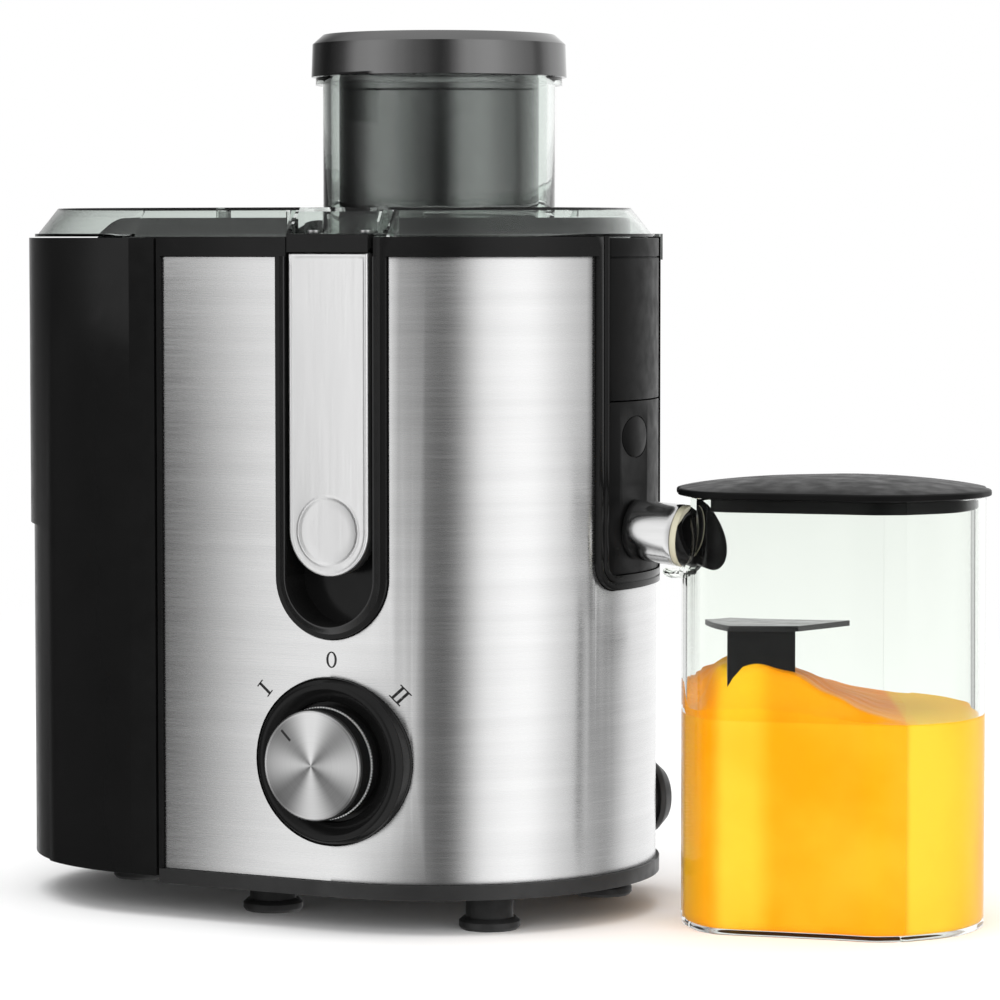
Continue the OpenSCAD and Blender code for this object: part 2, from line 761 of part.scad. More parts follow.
// See-through lid with its feed chute
module lid() color("#aab4ae", 0.45) on_drive_axis() difference() {
    union() {
        difference() {
            union() {
                translate([0, 0, rim_z]) linear_extrude(lid_edge_h) plan(lid_r);
                plan_frustum(lid_r - 1.2, lid_r - 8.2, rim_z + lid_edge_h, lid_top_z - rim_z - lid_edge_h);
            }
            plan_frustum(lid_r - 1.7, lid_r - 9.2, rim_z - 1, lid_top_z - rim_z - 0.4);
        }
        // shelves over the hinge blocks
        for (side = ["front", "back"]) at_side(side) difference() {
            box_between([-18.5, -72, rim_z], [18.5, -61.5, lid_top_z - 1]);
            shelf_space();
        }
        // chute, its top flange and its lower end inside the basket
        translate([0, 0, chute_low_z])
            cylinder(h = chute_top_z - chute_low_z, r = chute_r + chute_wall, $fn = 128);
        translate([0, 0, chute_top_z - 2.5]) cylinder(h = 2.5, r = chute_r + 5, $fn = 128);
        // pip that holds the interlock's pin down
        translate([plunger_x, plunger_y, rim_z]) cylinder(h = lid_top_z - rim_z - 1, r = 2.5, $fn = 48);
        // small tab over the rim at the back right
        tab_ring(rim_z - 8, lid_edge_h + 8, body_r + 0.4);
        tab_ring(rim_z, lid_edge_h, lid_r - 1);
    }
    translate([0, 0, chute_low_z - 1]) cylinder(h = big, r = chute_r, $fn = 128);
    for (side = ["front", "back"]) at_side(side) {
        box_between([-lever_w / 2 - 0.6, -80, rim_z - 1], [lever_w / 2 + 0.6, -72, big]);
        shelf_space();
        hinge_screw_holes(rim_z - 5);
    }
}

module shelf_space() {
    box_between([-16.4, -80, shelf_z], [16.4, -63.5, big]);
}

// Part of a ring about the drive axis, out to the tab's face
module tab_ring(z, h, r_in) {
    intersection() {
        translate([0, 0, z]) linear_extrude(h) difference() {
            circle(body_r + 1.9, $fn = 128);
            circle(r_in, $fn = 128);
        }
        linear_extrude(big) sector(36, 56);
    }
}

pusher_r = pusher_od / 2;
pusher_low_z = chute_low_z + 4;
cap_r = cap_d / 2;

module pusher_body() color("#1a1b1d") on_drive_axis() difference() {
    translate([0, 0, pusher_low_z]) cylinder(h = chute_top_z + 3 - pusher_low_z, r = pusher_r, $fn = 128);
    translate([0, 0, pusher_low_z + wall]) cylinder(h = big, r = pusher_r - 2, $fn = 128);
}

module pusher_cap() color("#161617") on_drive_axis() difference() {
    translate([0, 0, chute_top_z + 0.2]) rotate_extrude($fn = 128)
        polygon([[0, 0], [cap_r, 0], [cap_r - 0.4, 11.3], [cap_r - 4, 14.5], [0, 14.9]]);
    // ring groove that the pusher's body stands in, and the hollow inside
    translate([0, 0, chute_top_z - 1]) cylinder(h = 4, r = pusher_r, $fn = 128);
    translate([0, 0, chute_top_z + 2.9]) cylinder(h = 9, r = pusher_r - 2, $fn = 128);
}

// ---------- spinning parts ----------

shaft_r = 4;
shaft_z = 32;
shaft_h = 112;

module motor_shaft() color("#a9acaf") on_drive_axis()
    translate([0, 0, shaft_z]) cylinder(h = shaft_h, r = shaft_r, $fn = 64);

// Hole along the drive axis that the shaft fits
module shaft_bore(z0, h) {
    translate([0, 0, z0]) cylinder(h = h, r = shaft_r, $fn = 64);
}

module rotor_core() color("#76797c") on_drive_axis() difference() {
    union() {
        translate([0, 0, stack_z]) cylinder(h = stack_h, r = 18);
        translate([0, 0, stack_z - 5]) cylinder(h = stack_h + 12, r = 14);
    }
    shaft_bore(30, 100);
    for (i = [0:11]) rotate([0, 0, i * 30]) translate([14.4, -1, stack_z - 1]) cube([10, 2, stack_h + 2]);
}

module commutator() color("#c07b3a") on_drive_axis() difference() {
    translate([0, 0, 51.5]) cylinder(h = 11, r = 12);
    shaft_bore(30, 100);
    for (i = [0:23]) rotate([0, 0, i * 15]) translate([11.2, -0.2, 51]) cube([2, 0.4, 12]);
}

module cooling_fan() color("#e4e2da") on_drive_axis() difference() {
    union() {
        translate([0, 0, 33]) cylinder(h = 6, r = 9);
        translate([0, 0, 37.6]) cylinder(h = 1.4, r = 30);
        for (i = [0:10]) rotate([0, 0, i * 360 / 11]) translate([8, -0.7, 33]) rotate([0, 0, 12])
            cube([22, 1.4, 5]);
    }
    shaft_bore(30, 100);
}

module drive_coupling() color("#303236") on_drive_axis() difference() {
    union() {
        translate([0, 0, 122]) cylinder(h = 26, r = 9);
        for (i = [0:5]) rotate([0, 0, i * 60]) translate([7, -1.6, 130]) cube([4.6, 3.2, 18]);
        translate([0, 0, 120.5]) cylinder(h = 2.5, r = 14);
    }
    shaft_bore(100, 44);
}

basket_low_r = 44;
basket_high_r = 56;
basket_h = basket_top_z - basket_floor_z;
hub_z = 145;

// Perforated cone in rings of slots, on a hub that fits the coupling
module strainer_basket() color("#b7babd") on_drive_axis() difference() {
    union() {
        translate([0, 0, basket_floor_z])
            cylinder(h = basket_h, r1 = basket_low_r, r2 = basket_high_r, $fn = 128);
        translate([0, 0, basket_top_z - 3]) cylinder(h = 3, r = basket_high_r + 1.2, $fn = 128);
        translate([0, 0, hub_z]) cylinder(h = basket_floor_z - hub_z + 1, r1 = 15, r2 = 26, $fn = 96);
        translate([0, 0, basket_floor_z - 3]) cylinder(h = 6, r = basket_low_r + 1, $fn = 128);
    }
    translate([0, 0, basket_floor_z + 1.5])
        cylinder(h = basket_h, r1 = basket_low_r - 1, r2 = basket_high_r - 0.8, $fn = 128);
    // socket for the coupling
    translate([0, 0, 140]) cylinder(h = 9.4, r = 9.3);
    translate([0, 0, 140]) for (i = [0:5]) rotate([0, 0, i * 60]) translate([6, -1.9, 0]) cube([6, 3.8, 9.4]);
    // slots, each ring turned by half a step
    for (k = [0:4], i = [0:11]) rotate([0, 0, i * 30 + k * 15])
        translate([38, -1.2, basket_floor_z + 7 + k * 12]) cube([30, 2.4, 8]);
}

// Toothed disc on the basket's floor
module grater_disc() color("#c8cacc") on_drive_axis() translate([0, 0, basket_floor_z + 1.6]) union() {
    cylinder(h = 1.4, r = 41);
    cylinder(h = 3.2, r = 8);
    for (ring = [1:4], i = [0:8 * ring - 1]) rotate([0, 0, i * 45 / ring + ring * 7])
        translate([ring * 8.5 + 3, -0.5, 1.3]) cube([2.4, 1, 1.6]);
}

// ---------- jug and bin ----------

// Side of the jug seen from above: distance along it and half width, both as shares
jug_side = [[0, 0], [0, 0.2], [0.075, 0.6], [0.31, 0.79], [0.47, 0.9], [0.6, 1], [0.745, 0.985],
            [0.9, 0.72], [1, 0.3], [1, 0]];
jug_steps = 5;

// Smooth curve through the points of the jug's side, at step k
function blend(a, b, c, d, u) = 0.5 * ((2 * b) + (c - a) * u + (2 * a - 5 * b + 4 * c - d) * u * u
                                       + (3 * b - a - 3 * c + d) * u * u * u);
function side_at(k) = let (last = len(jug_side) - 1, i = min(floor(k / jug_steps), last - 1))
    blend(jug_side[max(i - 1, 0)], jug_side[i], jug_side[i + 1], jug_side[min(i + 2, last)],
          k / jug_steps - i);
function jug_point(k) = let (p = side_at(k)) [jug_len * p[0], jug_half * p[1]];
side_count = jug_steps * (len(jug_side) - 1);
// The same point moved inwards, square to the outline
function inset_point(k, inset) = let (p = jug_point(k), q = jug_point(max(k - 1, 1)),
    r = jug_point(min(k + 1, side_count - 1)), d = (r - q) / norm(r - q))
    [p[0] + inset * d[1], p[1] - inset * d[0]];

module jug_shape(inset) {
    side = [for (k = [1:side_count - 1]) inset_point(k, inset)];
    low = [for (p = side) if (p[1] > 0) p];
    polygon(concat(low, [for (k = [len(low) - 1:-1:0]) [low[k][0], -low[k][1]]]));
}

module jug_dome(share) {
    translate([jug_len * 0.52, 0]) scale(share) translate([-jug_len * 0.52, 0]) jug_shape(-lid_over);
}

// Way that the nozzle takes through the jug's wall as the jug slides off
module nozzle_way(r, x0, x1) {
    on_drive_axis() {
        translate([0, 0, 131]) bar_x(r, x0, x1, 96);
        box_between([x0, -r, 131], [x1, r, jug_z + 1]);
    }
}

module jug() color("#dfe8e2", 0.35) difference() {
    union() {
        in_jug() difference() {
            linear_extrude(jug_z) jug_shape(0);
            translate([0, 0, 4]) linear_extrude(big) jug_shape(jug_wall);
            translate([0, 0, -1]) linear_extrude(2.2) jug_shape(6);
        }
        // short lip under the nozzle
        intersection() {
            nozzle_way(collar_r + 2, 89.5, 98);
            on_drive_axis() box_between([80, -7.5, 100], [120, 7.5, 124]);
            in_jug() translate([-60, -60, 0]) cube([61.5, 120, 200]);
        }
    }
    nozzle_way(collar_r, 80, 110);
}

// Black plate that holds the froth back
module froth_separator() color("#1d2022") in_jug() {
    difference() {
        box_between([13.5, -24, 4.2], [36, -22, 101.6]);
        box_between([17.5, -30, 3], [32, 0, 20]);
    }
    // the plate falls a little towards the back
    translate([0, -24, 100.8]) rotate([-4.1, 0, 0]) translate([0, 24, 0]) linear_extrude(1.8)
        polygon([[6, 8], [16.5, 24], [35, 11], [56, 0], [36.5, -30], [14, -24.5]]);
}

lid_over = 1.8;
lid_brim_h = 2.2;
// Steps of the dome: share of the lid's outline, and height above the brim's middle
dome_layers = [[0.92, 2.3], [0.8, 3.1], [0.64, 4], [0.45, 4.9], [0.26, 5.6]];

// Thin domed cover with a skirt inside the jug
module jug_lid() color("#141416") in_jug() difference() {
    union() {
        translate([0, 0, jug_z + 0.1]) linear_extrude(lid_brim_h) jug_shape(-lid_over);
        for (layer = dome_layers) translate([0, 0, jug_z + 1]) linear_extrude(layer[1]) jug_dome(layer[0]);
        translate([0, 0, jug_z - 4.5]) linear_extrude(5) difference() {
            jug_shape(jug_wall + gap);
            jug_shape(jug_wall + gap + 1.8);
        }
    }
    // the skirt leaves room for the nozzle
    box_between([-10, -22, jug_z - 10], [24, 22, jug_z + 0.1]);
}

bin_seam_x = seam_x - 1;
bin_z = 14.3;
bin_top_z = rim_z - 0.4;
bin_wall = 2.2;
grip_half = 63.8;
grip_top_z = 131;
grip_corner_r = 8;
grip_depth = 1.2;

// Outline of the grip recess on the bin's end, seen from the left
module grip_outline(grow) {
    w = grip_half + grow;
    top = grip_top_z + grow;
    r = grip_corner_r;
    translate([-w, -10]) square([2 * w, top - r + 10]);
    translate([r - w, 0]) square([2 * (w - r), top]);
    for (s = [-1, 1]) translate([s * (w - r), top - r]) circle(r);
}

module grip_space(grow) {
    translate([-200, 0, 0]) rotate([90, 0, 90]) linear_extrude(200 - end_gap - 34) grip_outline(grow);
}

module pulp_bin() color("#17181a") on_drive_axis() difference() {
    union() {
        difference() {
            translate([0, 0, bin_z]) linear_extrude(bin_top_z - bin_z) plan_bin(body_r, bin_seam_x);
            translate([0, 0, bin_z - 1]) linear_extrude(big)
                plan_bin(body_r - bin_wall, bin_seam_x - bin_wall);
        }
        // floor and the inner skin behind the grip
        translate([0, 0, trim_z + 0.3]) linear_extrude(bin_wall) plan_bin(body_r - 1, bin_seam_x - 1);
        intersection() {
            translate([0, 0, bin_z]) linear_extrude(bin_top_z - bin_z) difference() {
                plan_bin(body_r - grip_depth + 0.3, bin_seam_x);
                plan_bin(body_r - grip_depth - bin_wall, bin_seam_x);
            }
            grip_space(3);
        }
    }
    intersection() {
        translate([0, 0, bin_z - 1]) linear_extrude(big) difference() {
            plan_bin(body_r + 5, bin_seam_x);
            plan_bin(body_r - grip_depth, bin_seam_x);
        }
        grip_space(0);
    }
    // low side for the bowl's chute, and the way for the tongue below
    box_between([bin_seam_x - 4, -73, ledge_z - 0.5], [bin_seam_x + 1, 73, big]);
    box_between([bin_seam_x - 10, -26, bin_z - 1], [bin_seam_x + 1, 26, trim_z + 0.3]);
}

// ---------- show ----------

base_plate();
foot_front_left();
foot_front_right();
foot_back_left();
foot_back_right();
foot_bin();
base_screws();
housing();
steel_wrap();
cord_gland();
motor_stator();
field_coils();
upper_bracket();
lower_bracket();
upper_bearing();
lower_bearing();
brush_holders();
carbon_brushes();
motor_dampers();
motor_screws();
shaft_seal();
speed_switch();
knob_bezel();
interlock_switch();
catch_spring_front();
catch_spring_back();
juice_bowl();
side_panel_upper();
side_panel_lower();
spout_tube();
spout_sleeve();
lid();
hinge_block_front();
hinge_block_back();
hinge_screws();
latch_pin_front();
latch_pin_back();
latch_front();
latch_back();
latch_plate_front();
latch_plate_back();
pusher_body();
pusher_cap();
motor_shaft();
rotor_core();
commutator();
cooling_fan();
drive_coupling();
strainer_basket();
grater_disc();
knob();
knob_insert();
interlock_plunger();
nozzle();
nozzle_seal();
jug();
froth_separator();
jug_lid();
pulp_bin();
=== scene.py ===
"""Looks of the centrifugal juicer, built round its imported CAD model.

Places and lengths are millimetres from the foot of the drive axis, until at() turns them into metres.
"""

import json
import math

import bmesh
import bpy
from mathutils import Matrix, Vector


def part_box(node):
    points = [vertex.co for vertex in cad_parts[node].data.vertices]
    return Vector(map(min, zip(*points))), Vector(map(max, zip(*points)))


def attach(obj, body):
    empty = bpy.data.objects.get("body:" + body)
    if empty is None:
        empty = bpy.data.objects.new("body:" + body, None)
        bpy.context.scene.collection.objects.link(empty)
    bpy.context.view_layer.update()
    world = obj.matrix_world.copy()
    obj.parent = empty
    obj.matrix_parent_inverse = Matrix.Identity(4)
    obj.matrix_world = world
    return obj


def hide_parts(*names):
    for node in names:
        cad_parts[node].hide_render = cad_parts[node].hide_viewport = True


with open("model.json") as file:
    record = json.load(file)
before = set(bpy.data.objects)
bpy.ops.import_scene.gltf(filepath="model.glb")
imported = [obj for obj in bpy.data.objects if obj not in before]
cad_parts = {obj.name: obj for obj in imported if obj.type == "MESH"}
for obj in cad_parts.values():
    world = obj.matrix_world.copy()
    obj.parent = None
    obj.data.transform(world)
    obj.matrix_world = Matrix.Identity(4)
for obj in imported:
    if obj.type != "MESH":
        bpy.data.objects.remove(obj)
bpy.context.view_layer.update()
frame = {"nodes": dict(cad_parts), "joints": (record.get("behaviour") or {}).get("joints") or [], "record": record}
NODES = frame["nodes"]
JOINTS = {j["name"]: j for j in frame["joints"]}
MM = 0.001


# ---------- places taken from the frame ----------

DRIVE = Vector(JOINTS["rotor_spin"]["pos_m"])
X, Y, Z = range(3)
LOW, HIGH = range(2)


def at(x, y, z):
    """A point given in millimetres from the foot of the drive axis."""
    return Vector((DRIVE.x + x * MM, DRIVE.y + y * MM, z * MM))


def reach(node, side, axis):
    """Where a CAD node ends along an axis, in millimetres from the foot of the drive axis."""
    return (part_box(node)[side] - Vector((DRIVE.x, DRIVE.y, 0)))[axis] / MM


BODY_R = reach("housing", HIGH, Y)
STEEL_R = reach("steel_wrap", HIGH, Y)
STEEL_TOP = reach("steel_wrap", HIGH, Z)

LEVER_HALF = reach("latch_plate_front", HIGH, X)
LEVER_TOP = reach("latch_plate_front", HIGH, Z)
LEVER_FACE = reach("latch_plate_back", HIGH, Y)
LEVER_TIP = reach("latch_plate_front", LOW, Z) + LEVER_HALF

KNOB_Z = JOINTS["knob_turn"]["pos_m"][Z] / MM
KNOB_R = reach("knob_insert", HIGH, X) + 0.4
KNOB_FACE = -reach("knob_insert", LOW, Y)
BEZEL_R = reach("knob_bezel", HIGH, X)
BEZEL_BACK = -reach("knob_bezel", HIGH, Y)
BEZEL_FACE = -reach("knob_bezel", LOW, Y)

JUG_TOP = reach("jug", HIGH, Z)
LID_LOW = reach("jug_lid", LOW, Z)


# ---------- shader nodes ----------


def add_node(tree, kind, inputs=None, **settings):
    """A shader node with its settings, and its inputs set to numbers or linked from sockets."""
    made = tree.nodes.new(kind)
    for key, value in settings.items():
        setattr(made, key, value)
    for key, value in (inputs or {}).items():
        if isinstance(value, bpy.types.NodeSocket):
            tree.links.new(value, made.inputs[key])
        else:
            made.inputs[key].default_value = value
    return made


def compute(tree, operation, *values):
    """The result of a sum on numbers or sockets."""
    return add_node(tree, "ShaderNodeMath", dict(enumerate(values)), operation=operation).outputs[0]


def split(tree, vector):
    """A vector's X, Y and Z sockets."""
    return add_node(tree, "ShaderNodeSeparateXYZ", {0: vector}).outputs


def spread(tree, value, low, high, from_low=0.3, from_high=0.7, curve="LINEAR"):
    """The value's usual range turned into low to high."""
    return add_node(tree, "ShaderNodeMapRange", {0: value, 1: from_low, 2: from_high, 3: low, 4: high},
                    interpolation_type=curve).outputs[0]


def fill_ramp(tree, value, interpolation, table):
    """A grey that follows the value through a list of places and levels."""
    ramp = add_node(tree, "ShaderNodeValToRGB", {0: value})
    ramp.color_ramp.interpolation = interpolation
    stops = ramp.color_ramp.elements
    while len(stops) < len(table):
        stops.new(0.5)
    for stop, (place, level) in zip(stops, table):
        stop.position = place
        stop.color = grey(level)
    return ramp.outputs[0]


def grey(value):
    return (value, value, value, 1)


def object_place(tree, stretch=(1, 1, 1)):
    """The place on the object, in metres, stretched by the given factors."""
    place = add_node(tree, "ShaderNodeTexCoord").outputs["Object"]
    return add_node(tree, "ShaderNodeMapping", {"Vector": place, "Scale": stretch}).outputs[0]


def noise(tree, place, scale, detail=3.0, roughness=0.5):
    return add_node(tree, "ShaderNodeTexNoise", {"Vector": place, "Scale": scale, "Detail": detail,
                                                 "Roughness": roughness}).outputs["Fac"]


def tint(tree, value, dark, light):
    """The colour that goes from dark to light with the value."""
    return add_node(tree, "ShaderNodeMix", {0: value, 6: dark, 7: light}, data_type="RGBA").outputs[2]


def bump(tree, height, depth, normal=None):
    """A normal roughened by a height, whose full range is depth millimetres."""
    inputs = {"Height": height, "Distance": depth * MM, "Strength": 1.0}
    if normal is not None:
        inputs["Normal"] = normal
    return add_node(tree, "ShaderNodeBump", inputs).outputs[0]


def blank_material(name):
    mat = bpy.data.materials.new(name)
    mat.use_nodes = True
    mat.node_tree.nodes.clear()
    return mat, mat.node_tree


def new_material(name, inputs):
    """A material with one Principled shader that has the given inputs."""
    mat, tree = blank_material(name)
    shader = add_node(tree, "ShaderNodeBsdfPrincipled", inputs)
    out = add_node(tree, "ShaderNodeOutputMaterial")
    tree.links.new(shader.outputs[0], out.inputs[0])
    return mat, tree, shader


# ---------- camera, light and floor ----------

CAMERA_TURN = math.radians(28.0)
CAMERA_PITCH = math.radians(3.57)
CAMERA_DISTANCE = 1470.0
CAMERA_SIDE = 21.0
CAMERA_HEIGHT = 232.0
CAMERA_LENS = 152.8

# Brightness of the studio's wall: degrees round from the front towards the spout, brightness
STUDIO = [(-180, 1.1), (-155, 0.95), (-130, 0.3), (-110, 0.1), (-85, 0.06), (-66, 0.3), (-54, 0.85),
          (-40, 1.08), (-27, 1.08), (-12, 0.8), (-3, 0.62), (5, 0.45), (12, 0.36), (19, 0.26), (26, 0.15),
          (33, 0.15), (39, 0.32), (46, 0.72), (53, 1.08), (60, 1.2), (67, 1.3), (74, 1.34), (81, 1.31),
          (88, 1.15), (96, 0.97), (103, 0.84), (112, 0.7), (122, 0.55), (130, 0.35), (138, 0.6), (150, 0.95),
          (180, 1.1)]
BRIGHTEST = 2.0
CEILING = 0.85
CEILING_FROM = (0.4, 0.9)

FLOOR_R = 1600.0
FLOOR_FADE = (350.0, 1300.0)

FLAG_TURN = math.radians(-31.5)
FLAG_DISTANCE = 325.0
FLAG_SPAN = (-420.0, 60.0, -120.0, 243.0)
FLAG_FADE = (-22.0, 20.0)
FLAG_LEVEL = 0.07


def add_object(name, data):
    made = bpy.data.objects.new(name, data)
    bpy.context.scene.collection.objects.link(made)
    return made


def aim_along(made, direction):
    """Turns a camera or a lamp to look along a direction."""
    made.rotation_mode = "QUATERNION"
    made.rotation_quaternion = direction.to_track_quat("-Z", "Y")


def hide_from(made, *rays):
    """Keeps an object out of some kinds of ray."""
    for ray in rays:
        setattr(made, "visible_" + ray, False)


def make_camera():
    right = Vector((math.cos(CAMERA_TURN), math.sin(CAMERA_TURN), 0))
    ahead = Vector((-math.sin(CAMERA_TURN), math.cos(CAMERA_TURN), 0))
    data = bpy.data.cameras.new("camera")
    data.lens = CAMERA_LENS
    data.clip_start = 0.1
    data.clip_end = 20
    cam = add_object("camera", data)
    cam.location = at(0, 0, CAMERA_HEIGHT) + (right * CAMERA_SIDE - ahead * CAMERA_DISTANCE) * MM
    aim_along(cam, ahead * math.cos(CAMERA_PITCH) - Vector((0, 0, math.sin(CAMERA_PITCH))))
    bpy.context.scene.camera = cam


def make_world():
    """A white room to the camera, and the studio's soft bands of light to everything else."""
    world = bpy.data.worlds.new("studio")
    bpy.context.scene.world = world
    world.use_nodes = True
    tree = world.node_tree
    tree.nodes.clear()
    direction = split(tree, add_node(tree, "ShaderNodeTexCoord").outputs["Generated"])
    back = compute(tree, "MULTIPLY", direction["Y"], -1.0)
    angle = compute(tree, "ARCTAN2", direction["X"], back)
    share = spread(tree, angle, 0, 1, -math.pi, math.pi)
    levels = [((turn + 180) / 360, level / BRIGHTEST) for turn, level in STUDIO]
    bands = fill_ramp(tree, share, "CARDINAL", levels)
    wall = compute(tree, "MULTIPLY", bands, BRIGHTEST)
    up = spread(tree, direction["Z"], 0, 1, *CEILING_FROM, "SMOOTHSTEP")
    light = add_node(tree, "ShaderNodeMix", {0: up, 2: wall, 3: CEILING}).outputs[0]
    seen = add_node(tree, "ShaderNodeLightPath").outputs["Is Camera Ray"]
    both = add_node(tree, "ShaderNodeMix", {0: seen, 2: light, 3: 1.0}).outputs[0]
    shade = add_node(tree, "ShaderNodeBackground", {"Color": grey(1), "Strength": both})
    out = add_node(tree, "ShaderNodeOutputWorld")
    tree.links.new(shade.outputs[0], out.inputs[0])


def fading_material(name, kind, inputs, away, fade):
    """A stage material that turns clear as away(tree) goes through the fade, in millimetres."""
    mat, tree = blank_material(name)
    start, end = (place * MM for place in fade)
    place = add_node(tree, "ShaderNodeTexCoord").outputs["Object"]
    share = spread(tree, away(tree, place), 0, 1, start, end, "SMOOTHSTEP")
    shader = add_node(tree, kind, inputs).outputs[0]
    clear = add_node(tree, "ShaderNodeBsdfTransparent").outputs[0]
    mix = add_node(tree, "ShaderNodeMixShader", {0: share, 1: shader, 2: clear}).outputs[0]
    out = add_node(tree, "ShaderNodeOutputMaterial")
    tree.links.new(mix, out.inputs[0])
    return mat


def distance_out(tree, place):
    return add_node(tree, "ShaderNodeVectorMath", {0: place}, operation="LENGTH").outputs["Value"]


def distance_across(tree, place):
    return split(tree, place)["X"]


def make_floor():
    """A white floor that fades into the white studio, with no edge to see."""
    turns = 96
    mesh = bpy.data.meshes.new("floor")
    angles = [2 * math.pi * i / turns for i in range(turns)]
    rim = [(FLOOR_R * MM * math.cos(angle), FLOOR_R * MM * math.sin(angle), 0) for angle in angles]
    mesh.from_pydata([(0, 0, 0)] + rim, [], [(0, 1 + i, 1 + (i + 1) % turns) for i in range(turns)])
    floor = add_object("floor", mesh)
    hide_from(floor, "glossy")
    mesh.materials.append(fading_material("floor_white", "ShaderNodeBsdfDiffuse", {"Color": grey(0.95)},
                                          distance_out, FLOOR_FADE))


def make_flag():
    """A dark screen that only reflections see: it shades the bin and the steel beside it."""
    outward = Vector((math.sin(FLAG_TURN), -math.cos(FLAG_TURN), 0))
    left, right, low, high = (share * MM for share in FLAG_SPAN)
    corners = [(left, 0, low), (right, 0, low), (right, 0, high), (left, 0, high)]
    mesh = bpy.data.meshes.new("flag")
    mesh.from_pydata(corners, [], [(0, 1, 2, 3)])
    flag = add_object("flag", mesh)
    flag.location = at(0, 0, 0) + outward * FLAG_DISTANCE * MM
    flag.rotation_euler = (0, 0, FLAG_TURN)
    hide_from(flag, "camera", "diffuse", "transmission", "volume_scatter", "shadow")
    mesh.materials.append(fading_material("flag_dark", "ShaderNodeEmission", {"Strength": FLAG_LEVEL},
                                          distance_across, FLAG_FADE))


def area_light(name, place, size, power):
    """A soft light aimed at the juicer's middle, which reflections and glass don't show."""
    data = bpy.data.lights.new(name, "AREA")
    data.shape = "RECTANGLE"
    data.size, data.size_y = size
    data.energy = power
    lamp = add_object(name, data)
    lamp.location = place
    aim_along(lamp, at(0, 0, 120) - place)
    hide_from(lamp, "glossy", "transmission", "camera")


def make_lights():
    area_light("top_light", at(-100, -100, 1500), size=(1.6, 1.6), power=16)
    area_light("front_light", at(500, -1400, 700), size=(1.2, 0.9), power=10)


# ---------- jug's shape ----------

JUG_X = 94.0
JUG_TURN = math.radians(28)
JUG_LEN = 100.0
JUG_HALF = 44.0
JUG_MIDDLE = 52.0
JUG_WALL = 2.2

# Half of the jug's outline from above: share of its length, share of its half width
JUG_SIDE = [(0, 0), (0, 0.2), (0.075, 0.6), (0.31, 0.79), (0.47, 0.9), (0.6, 1), (0.72, 0.985), (0.9, 0.72),
            (1, 0.3), (1, 0)]
JUG_CORNER = 6

# The notch in the jug's near end, where the nozzle reaches in
NOTCH_Z = 131.0
NOTCH_R = 12.4

JUICE_LEVEL = 71.5
JUICE_INSET = 2.05
# Painted highlights and shade on the juice along the jug, lighter where the jug's corners catch the light: share
# of its length, lightness
JUICE_PAINTED_LIGHT = [(0.0, 0.3), (0.08, 0.05), (0.13, 0.75), (0.2, 0.7), (0.3, 0.1), (0.5, 0.0), (0.705, 0.05),
               (0.735, 0.85), (0.94, 0.75), (1.0, 0.35)]


def in_jug(along, across, z):
    """A point given along and across the jug, in millimetres from its near end."""
    x = JUG_X + along * math.cos(JUG_TURN) - across * math.sin(JUG_TURN)
    y = along * math.sin(JUG_TURN) + across * math.cos(JUG_TURN)
    return at(x, y, z)


# ---------- materials ----------

# Dark and light colour, roughness, depth of the moulded grain in millimetres, its fineness,
# refractive index, depth of the slow waves in millimetres
PLASTICS = {
    "black_gloss": (grey(0.005), grey(0.008), 0.18, 0.004, 1500, 1.26, 0.02),
    "piano_black": (grey(0.004), grey(0.006), 0.05, 0.001, 1500, 2.4, 0.01),
    "trim_black": (grey(0.006), grey(0.009), 0.2, 0.003, 1500, 1.6, 0.01),
    "panel_black": (grey(0.004), grey(0.006), 0.36, 0.01, 1600, 1.15, 0.02),
    "print_black": (grey(0.004), grey(0.007), 0.4, 0.002, 1500),
    "black_matte": (grey(0.009), grey(0.014), 0.42, 0.03, 1800),
    "grey_plastic": (grey(0.03), grey(0.042), 0.35, 0.02, 1800),
    "brown_plastic": ((0.05, 0.022, 0.012, 1), (0.08, 0.035, 0.018, 1), 0.45, 0.03, 1500),
    "white_plastic": ((0.6, 0.59, 0.55, 1), (0.68, 0.67, 0.63, 1), 0.4, 0.02, 1500),
    "blue_plastic": ((0.02, 0.05, 0.13, 1), (0.03, 0.07, 0.17, 1), 0.4, 0.02, 1500),
    "smoked_plastic": ((0.006, 0.007, 0.0065, 1), (0.01, 0.011, 0.0105, 1), 0.16, 0.006, 1500),
    "rubber": (grey(0.008), grey(0.014), 0.6, 0.05, 1400),
    "clear_rubber": ((0.55, 0.52, 0.38, 1), (0.63, 0.6, 0.46, 1), 0.3, 0.02, 900),
    "carbon": (grey(0.02), grey(0.03), 0.55, 0.04, 2200),
}

# Colour, roughness, refractive index
CLEARS = {
    "jug_clear": ((0.91, 0.935, 0.905, 1), 0.01, 1.13),
    "clear_smoked": ((0.88, 0.92, 0.895, 1), 0.02, 1.28),
    "clear_plastic": ((0.955, 0.985, 0.965, 1), 0.015, 1.45),
}

# Dark and light colour, roughness, stretch of the streaks, their fineness and their depth in millimetres,
# anisotropy and the axis that it runs round
METALS = {
    "brushed_steel": (grey(0.7), grey(0.76), 0.26, (1, 1, 45), 45, 0.0015, 0.85, "Z"),
    "polished_steel": (grey(0.7), grey(0.78), 0.14, (1, 1, 12), 60, 0.004),
    "satin_alloy": (grey(0.94), grey(0.99), 0.42, (40, 40, 1), 40, 0.006),
    "cast_alloy": (grey(0.42), grey(0.55), 0.5, (1, 1, 1), 700, 0.06),
    "steel": (grey(0.5), grey(0.6), 0.32, (1, 1, 4), 300, 0.008),
    "bronze": ((0.5, 0.33, 0.14, 1), (0.62, 0.43, 0.2, 1), 0.4, (1, 1, 1), 900, 0.02),
}

